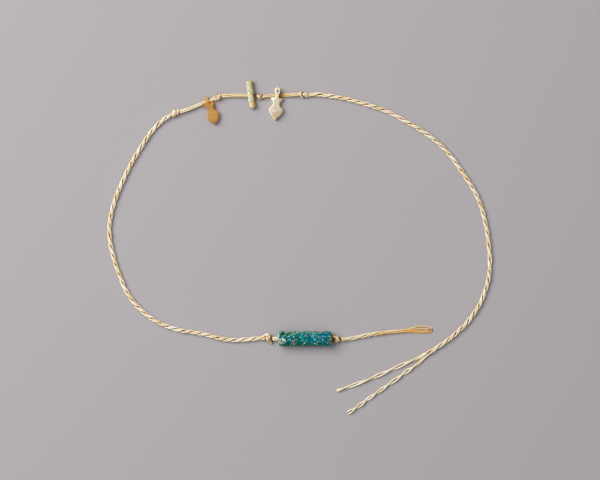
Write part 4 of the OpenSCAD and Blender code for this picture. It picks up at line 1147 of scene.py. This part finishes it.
# Crumb bead
# Grains and marks seen on the bead's upper side: x, y, radius in millimetres, colour, height
BEAD_MARKS = [
    (-2.4, -37.3, 0.34, "#e9f2ee", 0.10), (0.3, -37.4, 0.32, "#cfe6dd", 0.10),
    (1.2, -36.2, 0.34, "#9fc9c0", 0.08), (2.8, -36.9, 0.34, "#c7bfae", 0.08),
    (5.6, -36.6, 0.38, "#a9cdd2", 0.08), (6.4, -35.7, 0.40, "#9fcf9f", 0.10),
    (8.0, -37.4, 0.36, "#cbbd93", 0.10), (9.7, -38.5, 0.30, "#f0f4ea", 0.10),
    (7.6, -39.4, 0.30, "#e4efe6", 0.10), (2.1, -39.8, 0.40, "#fbfbf2", 0.14),
    (6.8, -38.5, 0.32, "#c9b98c", 0.08), (6.4, -40.1, 0.42, "#d9ae7a", 0.10),
    (7.2, -40.4, 0.32, "#e8efdf", 0.10), (11.7, -39.8, 0.34, "#cdb98e", 0.08),
    (10.7, -39.1, 0.30, "#8a6a3e", 0.04), (1.2, -38.9, 0.28, "#d98b3e", 0.06),
    (-1.3, -38.3, 0.36, "#c9772e", 0.08), (-1.3, -39.3, 0.32, "#c8742c", 0.08),
    (-2.2, -38.7, 0.34, "#c9bd86", 0.06), (-2.9, -39.0, 0.34, "#b8b27c", 0.05),
    (-2.4, -40.0, 0.50, "#8c8a4a", 0.06), (-3.3, -40.2, 0.45, "#9a8a4c", 0.06),
    (-1.5, -40.2, 0.42, "#8f8648", 0.06), (-2.4, -40.7, 0.38, "#cfd8b8", 0.06),
    (-6.0, -36.5, 0.34, "#c8c79c", 0.08), (-5.3, -35.4, 0.32, "#d4c49a", 0.06),
    (-4.5, -37.0, 0.32, "#7fc0c4", 0.06), (-3.4, -36.5, 0.42, "#a7a861", 0.06),
    (-2.4, -36.0, 0.48, "#a9ad6c", 0.06), (-1.2, -35.6, 0.42, "#8fc8a6", 0.08),
    (-3.7, -35.2, 0.34, "#7a4a26", 0.02), (0.0, -35.1, 0.32, "#cdbb90", 0.04),
    (5.0, -39.6, 0.34, "#5fb98e", 0.08), (12.5, -37.0, 0.34, "#cfae78", 0.06),
    (12.9, -38.4, 0.36, "#d2b88a", 0.06), (12.8, -40.0, 0.36, "#d8c79e", 0.06),
    (4.4, -35.2, 0.32, "#c2b184", 0.04), (8.7, -35.4, 0.36, "#c98b52", 0.04),
    (-5.9, -38.8, 0.36, "#9db7a2", 0.06),
]
BEAD_PITS = [
    (-7.0, -35.7, 0.66, 0.60), (-7.5, -39.6, 0.40, 0.35), (-7.6, -38.5, 0.36, 0.30),
    (-4.1, -40.9, 0.42, 0.12), (10.8, -36.5, 0.38, 0.28), (-2.0, -37.5, 0.34, 0.22),
    (-0.3, -40.9, 0.36, 0.10), (5.2, -41.0, 0.36, 0.10), (-9.0, -36.2, 0.3, 0.2),
]

# The crumb bead in millimetres: middle, radius, the bore's radius, half length; and the count of its points
BEAD_CENTRE = np.array([2.2, -38.1, 3.18])
BEAD_RADIUS = 3.0
BEAD_BORE = 1.3
BEAD_HALF = 11.25
BEAD_RINGS = 232
BEAD_SIDES = 200

# The rings from the outside round a rim into the bore: distance from the middle, radius, colour; the dark
# inner rings are painted shade in the bore
BEAD_RIM = [
    (BEAD_HALF, 2.25, "#8fae8f"), (BEAD_HALF, 1.8, "#8fae8f"),
    (BEAD_HALF - 0.05, BEAD_BORE + 0.15, "#1c3b38"), (BEAD_HALF - 0.3, BEAD_BORE, "#1c3b38"),
]

# Places where the bead is bluer: x, y, radius in millimetres, strength
BLUE_PLACES = [
    (6.5, -37.4, 3.2, 0.9), (10.8, -37.0, 2.2, 0.9), (-6.8, -37.2, 1.4, 0.7), (-3.2, -37.4, 1.2, 0.8),
    (2.4, -37.7, 1.5, 0.5),
]

# Crumbs all over the bead: colour, how strongly it shows, share of all crumbs
CRUMBS = [
    ("#00504e", 0.75, 0.32), ("#00837d", 0.60, 0.28), ("#08a68e", 0.75, 0.19), ("#0064a4", 0.70, 0.12),
    ("#7c9058", 0.65, 0.045), ("#a8dccc", 0.75, 0.03), ("#b07a44", 0.75, 0.015),
]

# Small grains strewn over it: how many, and how common each colour is
GRAIN_COUNT = 520
GRAIN_COLOURS = {
    "#e6efe6": 5, "#c8bd90": 5, "#16c0a0": 20, "#c0813f": 3, "#0a4f6e": 28, "#073f3c": 32, "#9db86f": 7,
}


def crumbs(points, size, seed):
    """Sorts points into small crumbs: for each point the kind of its crumb, and a height between 0 and 1."""
    limits = np.cumsum([share for _, _, share in CRUMBS])
    kinds, lifts = np.zeros(len(points), int), np.zeros(len(points))
    # Without a seed the noise vectors follow the clock, and the crumbs change from run to run
    noise.seed_set(seed)
    shift = Vector((seed * 3.1, seed * 5.7, seed * 1.9))
    for i, point in enumerate(points):
        place = Vector(point) / size + shift
        place += 0.35 * noise.noise_vector(place * 1.3)
        distances, centres = noise.voronoi(place)
        pick = noise.cell(centres[0] * 37.0)
        kinds[i] = min(int(np.searchsorted(limits, pick)), len(limits) - 1)
        lifts[i] = noise.cell(centres[0] * 53.0) * (1 - distances[0] * 0.6)
    return kinds, lifts


def bead_ground(coat, knobs, fine, upper):
    """The glaze itself: blue and green patches, and crumbs of colour all over."""
    y = coat.points[:, 1]
    coat.wash("#006a8c", 0.75 * eased(coat.field(0.22, 14) * 1.6 + 0.15))
    coat.wash("#129474", 0.70 * eased(coat.field(0.35, 15) * 1.8 - 0.05))
    blue = [strength * eased(1.6 * coat.near(*place, 1.3)) * eased(0.5 + 1.5 * fine)
            for *place, strength in BLUE_PLACES]
    for mask in blue:
        coat.wash("#005490", mask)
    coat.wash("#003b38", 0.6 * eased(-knobs * 1.9 - 0.15))
    coat.wash("#10a488", 0.35 * eased(knobs * 1.6 - 0.35))
    kinds, lift = crumbs(coat.points, 0.46, 5)
    for number, (colour, strength, _) in enumerate(CRUMBS):
        coat.wash(colour, strength * (kinds == number))
    coat.height += 0.10 * (lift - 0.5)
    coat.wash("#00649c", 0.5 * np.max(blue, axis=0) * upper)
    # Paler along the upper edge, partly painted light
    coat.wash("#9cd0ac", 0.72 * (eased((y + 36.1) / 0.5) * upper) * eased(0.1 + 2.4 * fine))
    # Greener and lighter along the lower edge: painted light against the shade there
    coat.wash("#46b088", 0.45 * eased((-40.0 - y) / 0.5) * upper * eased(0.4 + 1.6 * fine))


def bead_grains(coat, fine):
    """Small grains strewn all round the bead."""
    rng = random.Random(77)
    reach = BEAD_HALF - 0.3
    for _ in range(GRAIN_COUNT):
        angle, x = rng.uniform(0, math.tau), rng.uniform(-reach, reach)
        colour = rng.choices(list(GRAIN_COLOURS), list(GRAIN_COLOURS.values()))[0]
        size, lift = rng.uniform(0.12, 0.28), rng.uniform(0.0, 0.12)
        spot = BEAD_CENTRE + (x, BEAD_RADIUS * math.cos(angle), BEAD_RADIUS * math.sin(angle))
        away = np.linalg.norm(coat.points - spot, axis=1) + 0.10 * fine
        mask = np.clip(1 - away / size, 0, 1)
        coat.wash(colour, eased(mask * 2.2) * 0.8)
        coat.height += lift * eased(mask * 1.6)


def bead_marks(coat, knobs, fine, upper):
    """The larger grains, the pits and the worn place that the photo shows."""
    for x, y, size, colour, lift in BEAD_MARKS:
        mask = coat.near(x, y, size * 0.88) * upper
        coat.wash(colour, eased(mask * 2.0 + 0.15 * fine * (mask > 0)))
        coat.height += lift * eased(mask * 1.5)
    for x, y, size, depth in BEAD_PITS:
        # Painted shade in the pits: near black
        mask = coat.near(x, y, size * 1.2) * upper
        coat.wash("#05201f", min(1, 0.35 + 1.6 * depth) * eased(mask * 2.2))
        coat.height -= depth * eased(mask * 1.4)
    worn = coat.near(-7.3, -39.1, 1.9, 0.85, 90) * upper
    rough = eased(worn * 2.2) * eased(0.4 + 2.0 * fine + 0.6 * knobs)
    coat.wash("#f6f8ea", 0.95 * rough)
    coat.height -= 0.12 * rough
    # Two pits painted darker still: painted shade
    for x, y, size, _ in BEAD_PITS[1:3]:
        coat.wash("#07383a", eased(coat.near(x, y, size) * 2.4) * upper)


def bead_ends(coat, knobs, fine):
    """The two ends, pale where the glaze is worn, with rounded and broken edges."""
    x = coat.points[:, 0]
    ends = np.minimum(x - BEAD_CENTRE[0] + BEAD_HALF, BEAD_HALF - x + BEAD_CENTRE[0])
    left, right = x < BEAD_CENTRE[0], x > BEAD_CENTRE[0]
    coat.wash("#dcf4da", 0.95 * eased((0.75 - ends) / 0.4) * left * eased(0.8 + fine + knobs))
    coat.wash("#c9ad78", 0.75 * eased((0.45 - ends) / 0.35) * right * eased(0.5 + fine))
    rounding = 0.32 * (1 - eased(ends / 0.35))
    coat.height -= rounding + 0.10 * eased(-knobs - 0.2) * (1 - eased(ends / 1.2))


def crumb_bead():
    """A tube of glaze paste with five low swellings, rough with crumbs, with its bore open at both ends."""
    angle = np.linspace(0, math.tau, BEAD_SIDES, endpoint=False)
    circle = np.stack([np.zeros(BEAD_SIDES), np.cos(angle), np.sin(angle)], 1)
    share = np.linspace(0, 1, BEAD_RINGS)
    x = -BEAD_HALF + 0.12 + (2 * BEAD_HALF - 0.24) * share
    reach = np.repeat(BEAD_RADIUS - 0.18 * np.cos(math.tau * 5 * share), BEAD_SIDES)
    axis = np.tile(BEAD_CENTRE, (len(reach), 1))
    axis[:, 0] += np.repeat(x, BEAD_SIDES)
    around = np.tile(circle, (BEAD_RINGS, 1))
    coat = Coat(axis + around * reach[:, None], "#008078")
    lumps, knobs, fine = coat.field(0.28, 11), coat.field(0.75, 12), coat.field(2.2, 13)
    upper = coat.points[:, 2] > BEAD_CENTRE[2]
    coat.height += 0.12 * lumps + 0.11 * knobs + 0.05 * fine
    bead_ground(coat, knobs, fine, upper)
    bead_grains(coat, fine)
    bead_marks(coat, knobs, fine, upper)
    bead_ends(coat, knobs, fine)
    reach = np.clip(reach + coat.height, 2.3, BEAD_RADIUS + 0.36)
    skin = axis + around * reach[:, None]
    skin[:, 2] = np.maximum(skin[:, 2], 0.0)
    rims = [(side * far, radius, colour) for side in (1, -1) for far, radius, colour in BEAD_RIM[::side]]
    loops = [circle * radius + [far, 0, 0] + BEAD_CENTRE for far, radius, _ in rims]
    tints = np.repeat([tone(colour) for _, _, colour in rims], BEAD_SIDES, axis=0)
    coat.points = np.vstack([skin, *loops])
    coat.colours = np.vstack([coat.colours, tints])
    faces = tube_faces(BEAD_RINGS + len(loops), BEAD_SIDES, closed=True)
    material = painted_material("faience", 3.0, 0.14, 0.55, 0.3, specular=0.02)
    finish_stone("crumb_bead_glaze", "crumb_bead", faces, coat, material)


# Build
make_camera()
make_stage()
LINEN = linen_material("linen", "#fdfcf5", "#dec383", "#f0b048", "#ae701a", "#1e0e04")
long_cord("left_cord", LEFT_ROUTE, LEFT_CROSSINGS, None, 3, "knot", LINEN)
ends = long_cord("right_cord", RIGHT_ROUTE, RIGHT_CROSSINGS, 8.0, 13, "object", LINEN)
tail_cord("tail_upper", TAIL_UPPER_ROUTE, TAIL_UPPER_CROSSINGS, before=7.7, gaps=TAIL_UPPER_GAPS,
          parted=1.8, starts=ends[2:], seed=23, material=LINEN)
tail_cord("tail_lower", TAIL_LOWER_ROUTE, TAIL_LOWER_CROSSINGS, before=6.3, gaps=TAIL_LOWER_GAPS,
          parted=4.6, starts=ends[1::-1], seed=33, material=LINEN)
top_cord(LINEN)
tie_cord(LINEN)
bead_cord(LINEN)
for number, knot in enumerate(KNOTS):
    make_knot(number, *knot, LINEN)
crumb_bead()
orange_nefer()
white_nefer()
green_bar()
